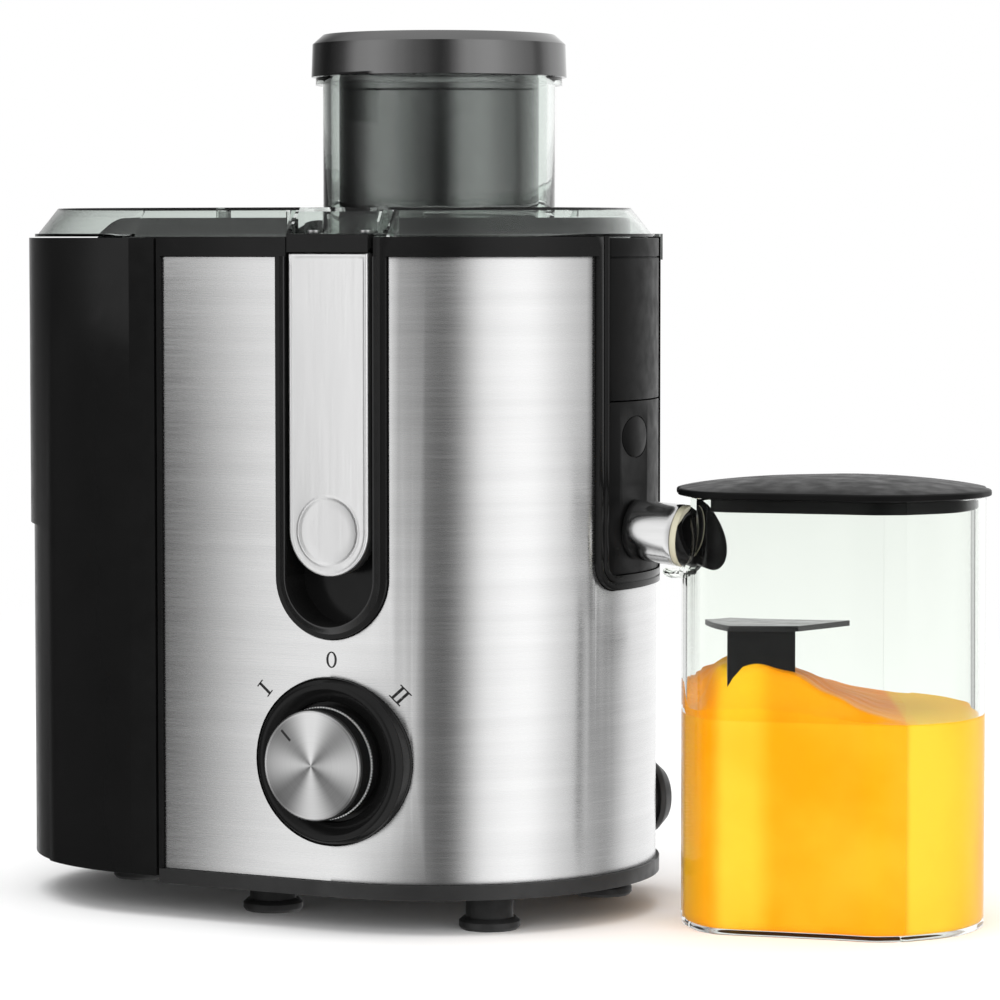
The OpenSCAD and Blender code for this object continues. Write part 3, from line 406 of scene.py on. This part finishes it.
# Dark and light colour, roughness, metallic share, pitch and depth of the layers in millimetres
LAYERS = {
    "iron": (grey(0.06), grey(0.2), 0.45, 0.8, 0.5, 0.08),
    "copper": ((0.3, 0.09, 0.03, 1), (0.75, 0.3, 0.14, 1), 0.35, 0.9, 0.6, 0.1),
}

# Deep and light colour, depth of the lumps in millimetres
JUICES = {
    "juice": ((1.0, 0.36, 0.0, 1), (1.0, 0.62, 0.04, 1), 0.05),
    "froth": ((1.0, 0.3, 0.0, 1), (1.0, 0.56, 0.02, 1), 0.45),
}

# A wave texture of scale 1 repeats after this many metres
WAVE_PITCH = 0.314


def plastic(name, dark, light, roughness, grain_depth, grain_scale, ior=1.5, wave_depth=0.0):
    """Moulded plastic: a faint cloudiness of colour, uneven gloss and a moulded skin."""
    mat, tree, shader = new_material(name, {"IOR": ior})
    place = object_place(tree)
    gloss = spread(tree, noise(tree, place, 160), roughness * 0.8, roughness * 1.25)
    skin = bump(tree, noise(tree, place, grain_scale, 2), grain_depth)
    if wave_depth:
        skin = bump(tree, noise(tree, place, 28, 1), wave_depth, skin)
    tree.links.new(tint(tree, noise(tree, place, 45), dark, light), shader.inputs["Base Color"])
    tree.links.new(gloss, shader.inputs["Roughness"])
    tree.links.new(skin, shader.inputs["Normal"])
    return mat


def clear_plastic(name, colour, roughness, ior):
    mat, tree, shader = new_material(name, {"Roughness": roughness, "IOR": ior, "Transmission Weight": 1.0})
    place = object_place(tree)
    deeper = tuple(c * 0.985 for c in colour[:3]) + (1,)
    tree.links.new(tint(tree, noise(tree, place, 12), deeper, colour), shader.inputs["Base Color"])
    tree.links.new(bump(tree, noise(tree, place, 22, 1), 0.04), shader.inputs["Normal"])
    return mat


def shine_round(tree, shader, axis):
    """Turns a metal's stretched shine so that it runs round an axis."""
    line = add_node(tree, "ShaderNodeTangent", direction_type="RADIAL", axis=axis).outputs[0]
    tree.links.new(line, shader.inputs["Tangent"])
    shader.inputs["Anisotropic Rotation"].default_value = 0.25


def metal(name, dark, light, roughness, stretch, streak_scale, depth, anisotropic=0.0, axis=None):
    """Metal with streaks: stretch squeezes the noise, so that the streaks run along the short numbers."""
    mat, tree, shader = new_material(name, {"Metallic": 1.0, "Anisotropic": anisotropic})
    place = object_place(tree, stretch)
    streak = noise(tree, place, streak_scale, 6, 0.7)
    both = compute(tree, "ADD", streak, noise(tree, place, streak_scale * 0.12, 2))
    colour = tint(tree, spread(tree, both, 0, 1, 0.75, 1.25), dark, light)
    tree.links.new(colour, shader.inputs["Base Color"])
    tree.links.new(spread(tree, streak, roughness * 0.85, roughness * 1.2), shader.inputs["Roughness"])
    tree.links.new(bump(tree, streak, depth), shader.inputs["Normal"])
    if axis:
        shine_round(tree, shader, axis)
    return mat


def layered(name, dark, light, roughness, metallic, pitch, depth):
    """Thin layers or windings: fine bands stacked upwards."""
    mat, tree, shader = new_material(name, {"Roughness": roughness, "Metallic": metallic})
    place = object_place(tree)
    bands = add_node(tree, "ShaderNodeTexWave", {"Vector": place, "Scale": WAVE_PITCH / (pitch * MM),
                                                 "Distortion": 0.4}, bands_direction="Z").outputs["Fac"]
    tree.links.new(tint(tree, bands, dark, light), shader.inputs["Base Color"])
    tree.links.new(bump(tree, bands, depth), shader.inputs["Normal"])
    return mat


def turned_metal_painted_fan(name):
    """A turned face: rings of fine grooves and a shine stretched round the middle, with a painted highlight in its
    colour that fans out in four lobes from the middle and is lighter above.
    """
    mat, tree, shader = new_material(name, {"Roughness": 0.3, "Metallic": 1.0, "Anisotropic": 0.75})
    shine_round(tree, shader, "Y")
    middle = Vector(JOINTS["knob_turn"]["pos_m"])
    place = add_node(tree, "ShaderNodeTexCoord").outputs["Object"]
    away = add_node(tree, "ShaderNodeVectorMath", {0: place, 1: middle}, operation="SUBTRACT").outputs[0]
    angle = compute(tree, "ARCTAN2", split(tree, away)["Z"], split(tree, away)["X"])
    # Painted highlight: four bright lobes round the middle and a lighter top, put into the base colour
    painted_fan = compute(tree, "COSINE", compute(tree, "MULTIPLY", angle, 4.0))
    painted_highlight_fan = compute(tree, "MULTIPLY_ADD", compute(tree, "SINE", angle), 0.3, painted_fan)
    radius = add_node(tree, "ShaderNodeCombineXYZ", {0: distance_out(tree, away)}).outputs[0]
    rings = noise(tree, radius, 2600, 2)
    light = spread(tree, painted_highlight_fan, 0, 1, -1.1, 1.2)
    both = spread(tree, compute(tree, "MULTIPLY_ADD", rings, 0.25, light), 0, 1, 0.1, 1.15)
    tree.links.new(tint(tree, both, grey(0.2), grey(0.72)), shader.inputs["Base Color"])
    tree.links.new(bump(tree, rings, 0.004), shader.inputs["Normal"])
    return mat


def juice_colour(name, deep, light, lump_depth):
    """Juice seen through the jug: deep in the middle, with painted highlights where the jug's corners catch the
    light.
    """
    mat, tree, shader = new_material(name, {"Roughness": 0.4, "IOR": 1.2, "Subsurface Weight": 0.1,
                                            "Subsurface Scale": 0.004})
    place = object_place(tree)
    left_end = in_jug(0, 0, 0)
    away = add_node(tree, "ShaderNodeVectorMath", {0: place, 1: left_end}, operation="SUBTRACT").outputs[0]
    line = Vector((math.cos(JUG_TURN), math.sin(JUG_TURN), 0)) / (JUG_LEN * MM)
    dot = add_node(tree, "ShaderNodeVectorMath", {0: away, 1: line}, operation="DOT_PRODUCT")
    along = dot.outputs["Value"]
    cloud = spread(tree, noise(tree, place, 22, 4, 0.55), -0.15, 0.35)
    # Painted light: bands of highlight and shade along the jug, over a random cloud of tone
    both = compute(tree, "ADD", cloud, fill_ramp(tree, along, "EASE", JUICE_PAINTED_LIGHT))
    tree.links.new(tint(tree, both, deep, light), shader.inputs["Base Color"])
    tree.links.new(bump(tree, noise(tree, place, 240, 4), lump_depth), shader.inputs["Normal"])
    return mat


def make_materials():
    made = {"turned_alloy": turned_metal_painted_fan("turned_alloy")}
    for kind, table in ((plastic, PLASTICS), (clear_plastic, CLEARS), (metal, METALS), (layered, LAYERS),
                        (juice_colour, JUICES)):
        for name, values in table.items():
            made[name] = kind(name, *values)
    return made


MATERIALS = make_materials()


# ---------- the CAD pieces ----------

# Nodes whose finish differs a little from the rest of their slot
SPECIAL = {"pusher_body": "piano_black", "pusher_cap": "piano_black", "side_panel_upper": "panel_black",
           "side_panel_lower": "panel_black", "froth_separator": "trim_black"}
WELD = 0.002
EDGE = 0.25
EDGE_ANGLE = math.radians(32)


def finish_node(name, material):
    """A CAD node with its material, welded seams and softened edges."""
    node = NODES[name]
    node.data.materials.clear()
    node.data.materials.append(material)
    weld = node.modifiers.new("weld", "WELD")
    weld.merge_threshold = WELD * MM
    soft = node.modifiers.new("edge", "BEVEL")
    soft.width = EDGE * MM
    soft.segments = 2
    soft.limit_method = "ANGLE"
    soft.angle_limit = EDGE_ANGLE


def finish_nodes():
    for part in frame["record"]["subparts"]:
        name = part["node"]
        finish_node(name, MATERIALS[SPECIAL.get(name, part["material_slot"])])


# ---------- shaping ----------


def shade(mesh, sharp):
    """Smooth shading except over edges sharper than the given angle in degrees."""
    for polygon in mesh.polygons:
        polygon.use_smooth = True
    mesh.set_sharp_from_angle(angle=math.radians(sharp))


def make_piece(name, points, faces, material, sharp=35):
    """A mesh piece from points in metres."""
    mesh = bpy.data.meshes.new(name)
    mesh.from_pydata(points, [], faces)
    tidy = bmesh.new()
    tidy.from_mesh(mesh)
    bmesh.ops.remove_doubles(tidy, verts=tidy.verts, dist=1e-7)
    bmesh.ops.recalc_face_normals(tidy, faces=tidy.faces)
    tidy.to_mesh(mesh)
    tidy.free()
    shade(mesh, sharp)
    mesh.materials.append(material)
    return add_object(name, mesh)


def rounded(points, steps=5):
    """The line through the points, with each corner that gives a radius rounded off."""
    line = []
    for i, point in enumerate(points):
        here = Vector(point[:2])
        radius = point[2] if len(point) > 2 else 0
        if not radius:
            line.append(here)
            continue
        back = Vector(points[i - 1][:2]) - here
        on = Vector(points[i + 1][:2]) - here
        turn = math.pi - back.angle(on)
        away = min(radius * math.tan(turn / 2), back.length * 0.49, on.length * 0.49)
        start, end = here + back.normalized() * away, here + on.normalized() * away
        for k in range(steps + 1):
            u = k / steps
            line.append(start * (1 - u) ** 2 + here * (2 * u * (1 - u)) + end * u ** 2)
    return line


def straight(start, end, steps):
    """Points in equal steps from one place towards another, without the last."""
    (x0, z0), (x1, z1) = start, end
    return [(x0 + (x1 - x0) * i / steps, z0 + (z1 - z0) * i / steps) for i in range(steps)]


def arc(z, radius, start, end, steps):
    """Points on an arc round a height on the axis, from one angle in degrees to another."""
    turns = [math.radians(start + (end - start) * i / steps) for i in range(steps + 1)]
    return [(radius * math.cos(turn), z + radius * math.sin(turn)) for turn in turns]


def lathe(name, profile, foot, axis, material, turns=160):
    """A turned piece: the profile gives radius and distance along the axis from its foot, in millimetres."""
    axis = Vector(axis).normalized()
    side = axis.orthogonal().normalized()
    other = axis.cross(side)
    points, rows, faces = [], [], []
    for radius, along in profile:
        middle = foot + axis * (along * MM)
        if radius <= 0:
            rows.append([len(points)] * turns)
            points.append(middle)
            continue
        rows.append(list(range(len(points), len(points) + turns)))
        for i in range(turns):
            turn = 2 * math.pi * i / turns
            points.append(middle + (side * math.cos(turn) + other * math.sin(turn)) * radius * MM)
    for low, high in zip(rows, rows[1:]):
        for i in range(turns):
            j = (i + 1) % turns
            corners = list(dict.fromkeys((low[i], low[j], high[j], high[i])))
            if len(corners) > 2:
                faces.append(corners)
    return make_piece(name, points, faces, material)


def loft(name, loops, material, caps=(True, True), closed=True, sharp=35):
    """A skin over loops of points in metres, all with the same count."""
    count = len(loops[0])
    points = [point for loop in loops for point in loop]
    faces = []
    for row in range(len(loops) - 1):
        for i in range(count if closed else count - 1):
            j = (i + 1) % count
            low, high = row * count, (row + 1) * count
            faces.append((low + i, low + j, high + j, high + i))
    if caps[0]:
        faces.append(tuple(range(count)))
    if caps[1]:
        faces.append(tuple(range((len(loops) - 1) * count, len(loops) * count)))
    return make_piece(name, points, faces, material, sharp)


def cut(body, cutter):
    """Takes the cutter's shape out of the body."""
    away = body.modifiers.new("cut", "BOOLEAN")
    away.operation = "DIFFERENCE"
    away.solver = "EXACT"
    away.object = cutter
    seen = bpy.context.evaluated_depsgraph_get()
    mesh = bpy.data.meshes.new_from_object(body.evaluated_get(seen))
    body.modifiers.remove(away)
    old = body.data
    body.data = mesh
    bpy.data.meshes.remove(old)
    bpy.data.meshes.remove(cutter.data)
    shade(mesh, 35)


def stand_for(piece, node):
    """The piece is shown in place of a CAD node, and moves with that node's body."""
    bodies = frame["record"]["behaviour"]["bodies"]
    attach(piece, next(body for body, nodes in bodies.items() if node in nodes))
    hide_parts(node)


def depth_at(radius, x):
    """How far the body reaches to the front and back at x: flat towards the bin, round at the spout."""
    return math.sqrt(radius ** 2 - max(x, 0) ** 2)


# ---------- dial ----------


def printed(name, shapes, x, z, turn):
    """Flat marks on the steel: each shape is a strip of point pairs, turned about the mark's middle."""
    turn = math.radians(turn)
    points, faces = [], []
    for strip in shapes:
        for lift in (-0.05, 0.03):
            for pair in strip:
                for across, up in pair:
                    px = x + across * math.cos(turn) - up * math.sin(turn)
                    pz = z + across * math.sin(turn) + up * math.cos(turn)
                    points.append(at(px, -depth_at(STEEL_R + lift, px), pz))
        count = len(strip)
        start = len(points) - 4 * count
        top = start + 2 * count
        for i in range(count - 1):
            a = top + 2 * i
            faces.append((a, a + 1, a + 3, a + 2))
            for side in (0, 1):
                faces.append((start + 2 * i + side, start + 2 * i + 2 + side, a + 2 + side, a + side))
    mark = make_piece(name, points, faces, MATERIALS["print_black"])
    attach(mark, "base")


def bar(x0, z0, x1, z1, parts=4):
    """A straight printed bar as a strip, cut into parts so that it follows the round steel."""
    places = [x0 + (x1 - x0) * i / parts for i in range(parts + 1)]
    return [((x, z0), (x, z1)) for x in places]


def ring(outer_x, outer_z, inner_x, inner_z, parts=48):
    """A printed oval ring as a strip."""
    turns = [2 * math.pi * i / parts for i in range(parts + 1)]
    return [((outer_x * math.sin(a), outer_z * math.cos(a)), (inner_x * math.sin(a), inner_z * math.cos(a)))
            for a in turns]


def numeral(strokes, serif_half):
    """A Roman numeral: upright strokes at the given places, between two serifs."""
    serif, stem, half = 0.42, 0.95, 2.75
    shapes = [bar(x - stem / 2, -half, x + stem / 2, half) for x in strokes]
    shapes.append(bar(-serif_half, half - serif, serif_half, half))
    shapes.append(bar(-serif_half, -half, serif_half, serif - half))
    return shapes


def make_marks():
    printed("mark_off", [ring(2.0, 2.75, 1.15, 2.3)], 0.4, 91.3, 0)
    printed("mark_one", numeral([0], 1.5), -25.4, 80.5, 50)
    printed("mark_two", numeral([-1.15, 1.15], 2.5), 24.3, 80.2, -46)


def make_bezel(foot, outward):
    """The dished ring round the knob, measured from the steel outwards."""
    rim, top = BEZEL_R, BEZEL_FACE - BEZEL_BACK
    bore, dish, floor = 5.2, KNOB_R + 1.3, 3.4
    profile = rounded([(bore, 0), (rim, 0), (rim, 5.8, 1.2), (rim - 1.8, top, 1.4), (rim - 3.4, top, 1.6),
                       (dish + 0.2, top - 2, 0.6), (dish, floor), (bore, floor), (bore, 0)])
    stand_for(lathe("dial_bezel", profile, foot, outward, MATERIALS["black_gloss"]), "knob_bezel")


def make_knob(foot, outward):
    """The knob's black skirt, with a groove for the toothed ring."""
    side, back, front = KNOB_R - 0.1, 4.1, 16.7
    groove = side - 0.3
    profile = rounded([(0, back), (side - 0.4, back), (side, back + 0.5, 0.3), (side, 9), (groove, 9.3),
                       (groove, 10.9), (side, 11.2), (side, front - 0.5, 0.5), (side - 0.4, front, 0.3),
                       (0, front)])
    stand_for(lathe("dial_knob", profile, foot, outward, MATERIALS["black_gloss"]), "knob")


def make_face(foot, outward):
    """The knob's metal face, with a fine edge and a small dimple in the middle."""
    rim, back, top = KNOB_R - 0.5, 16.6, KNOB_FACE - BEZEL_BACK
    profile = rounded([(0, back), (rim, back), (rim, top - 0.4, 0.4), (rim - 0.5, top, 0.25),
                       (rim - 0.9, top - 0.1), (rim - 1.2, top - 0.04), (0.35, top), (0, top - 0.1)])
    stand_for(lathe("dial_face", profile, foot, outward, MATERIALS["turned_alloy"]), "knob_insert")


def make_knurl(foot):
    """The fine toothed ring round the knob's skirt."""
    points_round = 4 * 110
    middle = 10.05
    section = ((-0.55, -0.7, -0.7), (-0.45, -0.2, 0), (-0.3, -0.15, 0.2), (0.3, -0.15, 0.2), (0.45, -0.2, 0),
               (0.55, -0.7, -0.7))
    loops = []
    for along, gap, tooth in section:
        loop = []
        for i in range(points_round):
            turn = 2 * math.pi * i / points_round
            radius = KNOB_R + (tooth if i % 4 < 2 else gap)
            place = (radius * math.cos(turn), -middle - along, radius * math.sin(turn))
            loop.append(foot + Vector(place) * MM)
        loops.append(loop)
    knurl = loft("dial_knurl", loops, MATERIALS["satin_alloy"], (False, False), sharp=20)
    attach(knurl, "knob")


def make_pointer():
    """The thin dark line on the knob's face that points at the dial's marks."""
    turn = math.radians(45)
    inner, outer, half, depth = 11.2, 16.0, 0.42, 0.2
    loops = []
    for y in (KNOB_FACE - depth, KNOB_FACE):
        loops.append([at(across * math.cos(turn) - along * math.sin(turn), -y,
                         KNOB_Z + along * math.cos(turn) + across * math.sin(turn))
                      for along, across in ((inner, -half), (outer, -half), (outer, half), (inner, half))])
    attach(loft("dial_pointer", loops, MATERIALS["print_black"]), "knob")


def make_dial():
    foot = at(0, -BEZEL_BACK, KNOB_Z)
    outward = (0, -1, 0)
    make_bezel(foot, outward)
    make_knob(foot, outward)
    make_knurl(foot)
    make_face(foot, outward)
    make_pointer()


# ---------- latches ----------

# The recess behind each lever: half its width, and the height of its round end's middle
RECESS_HALF = 16.2
RECESS_Z = 118.5

# The plate's rolled edge as inset and depth, and its thumb dimple as radius and depth
EDGE_ROLL = ((0.3, 1.2), (0.0, 1.1), (0.0, 0.7), (0.1, 0.3), (0.4, 0.05), (0.8, 0), (1.15, 0.08), (1.45, 0.2),
             (1.8, 0.2))
DIMPLE = ((12.3, 0.2), (12.0, 0.16), (11.7, 0.02), (11.35, 0), (11.0, 0.14), (10.7, 0.44), (10.2, 0.6),
          (7, 0.66), (3, 0.7))

# The raised lip as distance out from the recess and lift off the body
LIP = ((0.05, -2), (0.05, 0.5), (0.15, 0.75), (0.4, 0.8), (0.8, 0.7), (3.3, -0.35), (3.8, -0.6), (4.0, -1.0))


def lever_outline(inset):
    """The lever's plate seen from the front, anticlockwise from its top right corner."""
    half, top = LEVER_HALF - inset, LEVER_TOP - inset
    line = straight((half, top), (-half, top), 12) + straight((-half, top), (-half, LEVER_TIP), 30)
    line += arc(LEVER_TIP, half, 180, 360, 64)[:-1]
    return line + straight((half, LEVER_TIP), (half, top), 30)


def make_plate(side, sign):
    """The metal plate on a latch lever."""
    loops = []
    for inset, deep in EDGE_ROLL:
        loops.append([at(x, sign * (LEVER_FACE - deep), z) for x, z in lever_outline(inset)])
    for radius, deep in DIMPLE:
        loop = []
        for x, z in lever_outline(0):
            away = Vector((x, z - LEVER_TIP)).normalized() * radius
            loop.append(at(away.x, sign * (LEVER_FACE - deep), LEVER_TIP + away.y))
        loops.append(loop)
    plate = loft("lever_plate_" + side, loops, MATERIALS["satin_alloy"], sharp=40)
    stand_for(plate, "latch_plate_" + side)


def make_trim(side, sign):
    """The raised lip round a latch recess, sloping down to the steel."""
    loops = []
    for outside, lift in LIP:
        half = RECESS_HALF + outside
        right = straight((half, STEEL_TOP), (half, RECESS_Z), 24)
        line = [(-x, z) for x, z in right] + arc(RECESS_Z, half, 180, 360, 64) + right[::-1]
        loops.append([at(x, sign * (depth_at(BODY_R, x) + lift), z) for x, z in line])
    trim = loft("recess_trim_" + side, loops, MATERIALS["trim_black"], (False, False), closed=False, sharp=50)
    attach(trim, "base")


# ---------- jug, its lid and the juice ----------


def curve(a, b, c, d, u):
    """The smooth curve through four numbers, a share u of the way from the second to the third."""
    square, cube = 2 * a - 5 * b + 4 * c - d, 3 * b - a - 3 * c + d
    return 0.5 * (2 * b + (c - a) * u + square * u * u + cube * u ** 3)


def jug_outline(inset, steps=12):
    """The jug seen from above, as points along and across it, moved inwards by the inset."""
    last = len(JUG_SIDE) - 1
    side = []
    for k in range(1, steps * last):
        i, u = divmod(k, steps)
        first, end = (0, JUG_CORNER) if i < JUG_CORNER else (JUG_CORNER, last)
        a, b, c, d = (JUG_SIDE[min(max(i + n, first), end)] for n in (-1, 0, 1, 2))
        side.append(Vector((JUG_LEN * curve(a[0], b[0], c[0], d[0], u / steps),
                            JUG_HALF * curve(a[1], b[1], c[1], d[1], u / steps))))
    moved = []
    for i, point in enumerate(side):
        along = (side[min(i + 1, len(side) - 1)] - side[max(i - 1, 0)]).normalized()
        moved.append((point.x + inset * along.y, point.y - inset * along.x))
    low = [point for point in moved if point[1] > 0]
    return low + [(x, -y) for x, y in reversed(low)]


def jug_loop(inset, z, share=1.0):
    """The jug's outline at a height, shrunk to a share about the jug's middle."""
    return [in_jug(JUG_MIDDLE + (x - JUG_MIDDLE) * share, y * share, z) for x, y in jug_outline(inset)]


def make_jug_lip():
    """The small lip under the notch, which points at the spout."""
    thick = 2
    lip = []
    for x, thin in ((89.5, 0.5), (89.9, 0), (95.5, 0)):
        inner = arc(NOTCH_Z, NOTCH_R + thin, -121, -59, 24)
        outer = arc(NOTCH_Z, NOTCH_R + thick - thin, -121, -59, 24)
        lip.append([at(x, y, z) for y, z in inner + outer[::-1]])
    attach(loft("jug_lip", lip, MATERIALS["jug_clear"], sharp=50), "jug")


def make_jug():
    """The clear jug; each pair of numbers is the inset from its outline and the height."""
    foot = ((6.4, 1.2), (6.0, 0.8), (5.4, 0.0), (1.3, 0.0), (0.6, 0.15), (0.15, 0.6), (0, 1.4))
    rim_below_top = ((0, 0.8), (0.2, 0.3), (0.7, 0), (1.5, 0), (2.0, 0.3), (JUG_WALL, 0.8))
    floor = ((JUG_WALL, 8.0), (2.5, 6.0), (3.3, 4.7), (4.6, 4.1), (6.0, 4.0))
    loops = [jug_loop(inset, z) for inset, z in foot]
    loops += [jug_loop(inset, JUG_TOP - z) for inset, z in rim_below_top]
    loops += [jug_loop(inset, z) for inset, z in floor]
    shell = loft("jug_shell", loops, MATERIALS["jug_clear"], sharp=50)
    way = arc(NOTCH_Z, NOTCH_R, 180, 360, 48) + [(NOTCH_R, JUG_TOP + 15), (-NOTCH_R, JUG_TOP + 15)]
    cut(shell, loft("jug_notch", [[at(x, y, z) for y, z in way] for x in (80, 110)], MATERIALS["jug_clear"]))
    hide_from(shell, "glossy", "diffuse", "shadow")
    stand_for(shell, "jug")
    make_jug_lip()


def clamp(share):
    return min(max(share, 0), 1)


def mound(along, across, share):
    """Height of the froth over the juice: highest near the spout, falling to the level at the walls."""
    peak, left_width, right_width = 22, 28.0, 31.0
    width = left_width if along < peak else right_width
    height = 19.5 * math.exp(-((along - peak) / width) ** 2) - 1.0
    edge = clamp((share - 0.86) / 0.14) * clamp(-across / 10)
    height *= 1 - 0.8 * edge * edge * (3 - 2 * edge)
    height *= 1 - 0.4 * clamp(across / JUG_HALF)
    lumps = math.sin(along * 0.31 + across * 0.17) * math.sin(across * 0.27 - along * 0.12)
    return height + 0.8 * lumps * clamp(height / 8)


def make_juice():
    foot = ((3.0, 1.6), (1.7, 1.7), (0.8, 2.2), (0.2, 3.4), (0, 5.0), (0, 30), (0, 55), (0, JUICE_LEVEL))
    loops = [jug_loop(JUICE_INSET + inset, z) for inset, z in foot]
    juice = loft("juice", loops, MATERIALS["juice"], sharp=50)
    hide_from(juice, "glossy")
    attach(juice, "jug")


def make_froth():
    rings = 31
    loops = [jug_loop(2.3, JUICE_LEVEL - 3)]
    outline = jug_outline(2.0)
    for k in range(rings):
        share = 1 - k / rings
        loop = []
        for x, y in outline:
            along, across = JUG_MIDDLE + (x - JUG_MIDDLE) * share, y * share
            loop.append(in_jug(along, across, JUICE_LEVEL + mound(along, across, share)))
        loops.append(loop)
    froth = loft("froth", loops, MATERIALS["froth"], sharp=60)
    hide_from(froth, "glossy")
    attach(froth, "jug")


def make_jug_lid():
    """The jug's domed lid, with a skirt inside the wall and room for the nozzle."""
    inside = JUG_WALL + 0.3
    skirt = ((inside + 1.8, 0.1), (inside + 0.3, 0), (inside, 0.4), (inside, JUG_TOP - LID_LOW + 0.1))
    brim = ((-1.2, 0.1), (-1.7, 0.4), (-1.8, 1.2), (-1.7, 1.9), (-1.3, 2.3), (-0.4, 2.5))
    rings, dome = 24, 4.1
    loops = [jug_loop(inset, LID_LOW + z) for inset, z in skirt]
    loops += [jug_loop(inset, JUG_TOP + z) for inset, z in brim]
    for k in range(rings):
        share = 0.98 * (1 - k / rings)
        loops.append(jug_loop(-0.4, JUG_TOP + 2.5 + dome * (1 - share ** 2) ** 0.9, share))
    cover = loft("jug_cover", loops, MATERIALS["panel_black"], (False, True), sharp=40)
    corners = ((80, -20), (112, -20), (112, 20), (80, 20))
    room = [[at(x, y, z) for x, y in corners] for z in (LID_LOW - 2, JUG_TOP)]
    cut(cover, loft("lid_room", room, MATERIALS["panel_black"]))
    stand_for(cover, "jug_lid")


make_camera()
make_world()
make_floor()
make_flag()
make_lights()
finish_nodes()
make_marks()
make_dial()
for side, sign in (("front", -1), ("back", 1)):
    make_plate(side, sign)
    make_trim(side, sign)
make_jug()
make_juice()
make_froth()
make_jug_lid()

bpy.context.scene.view_settings.view_transform = "Standard"
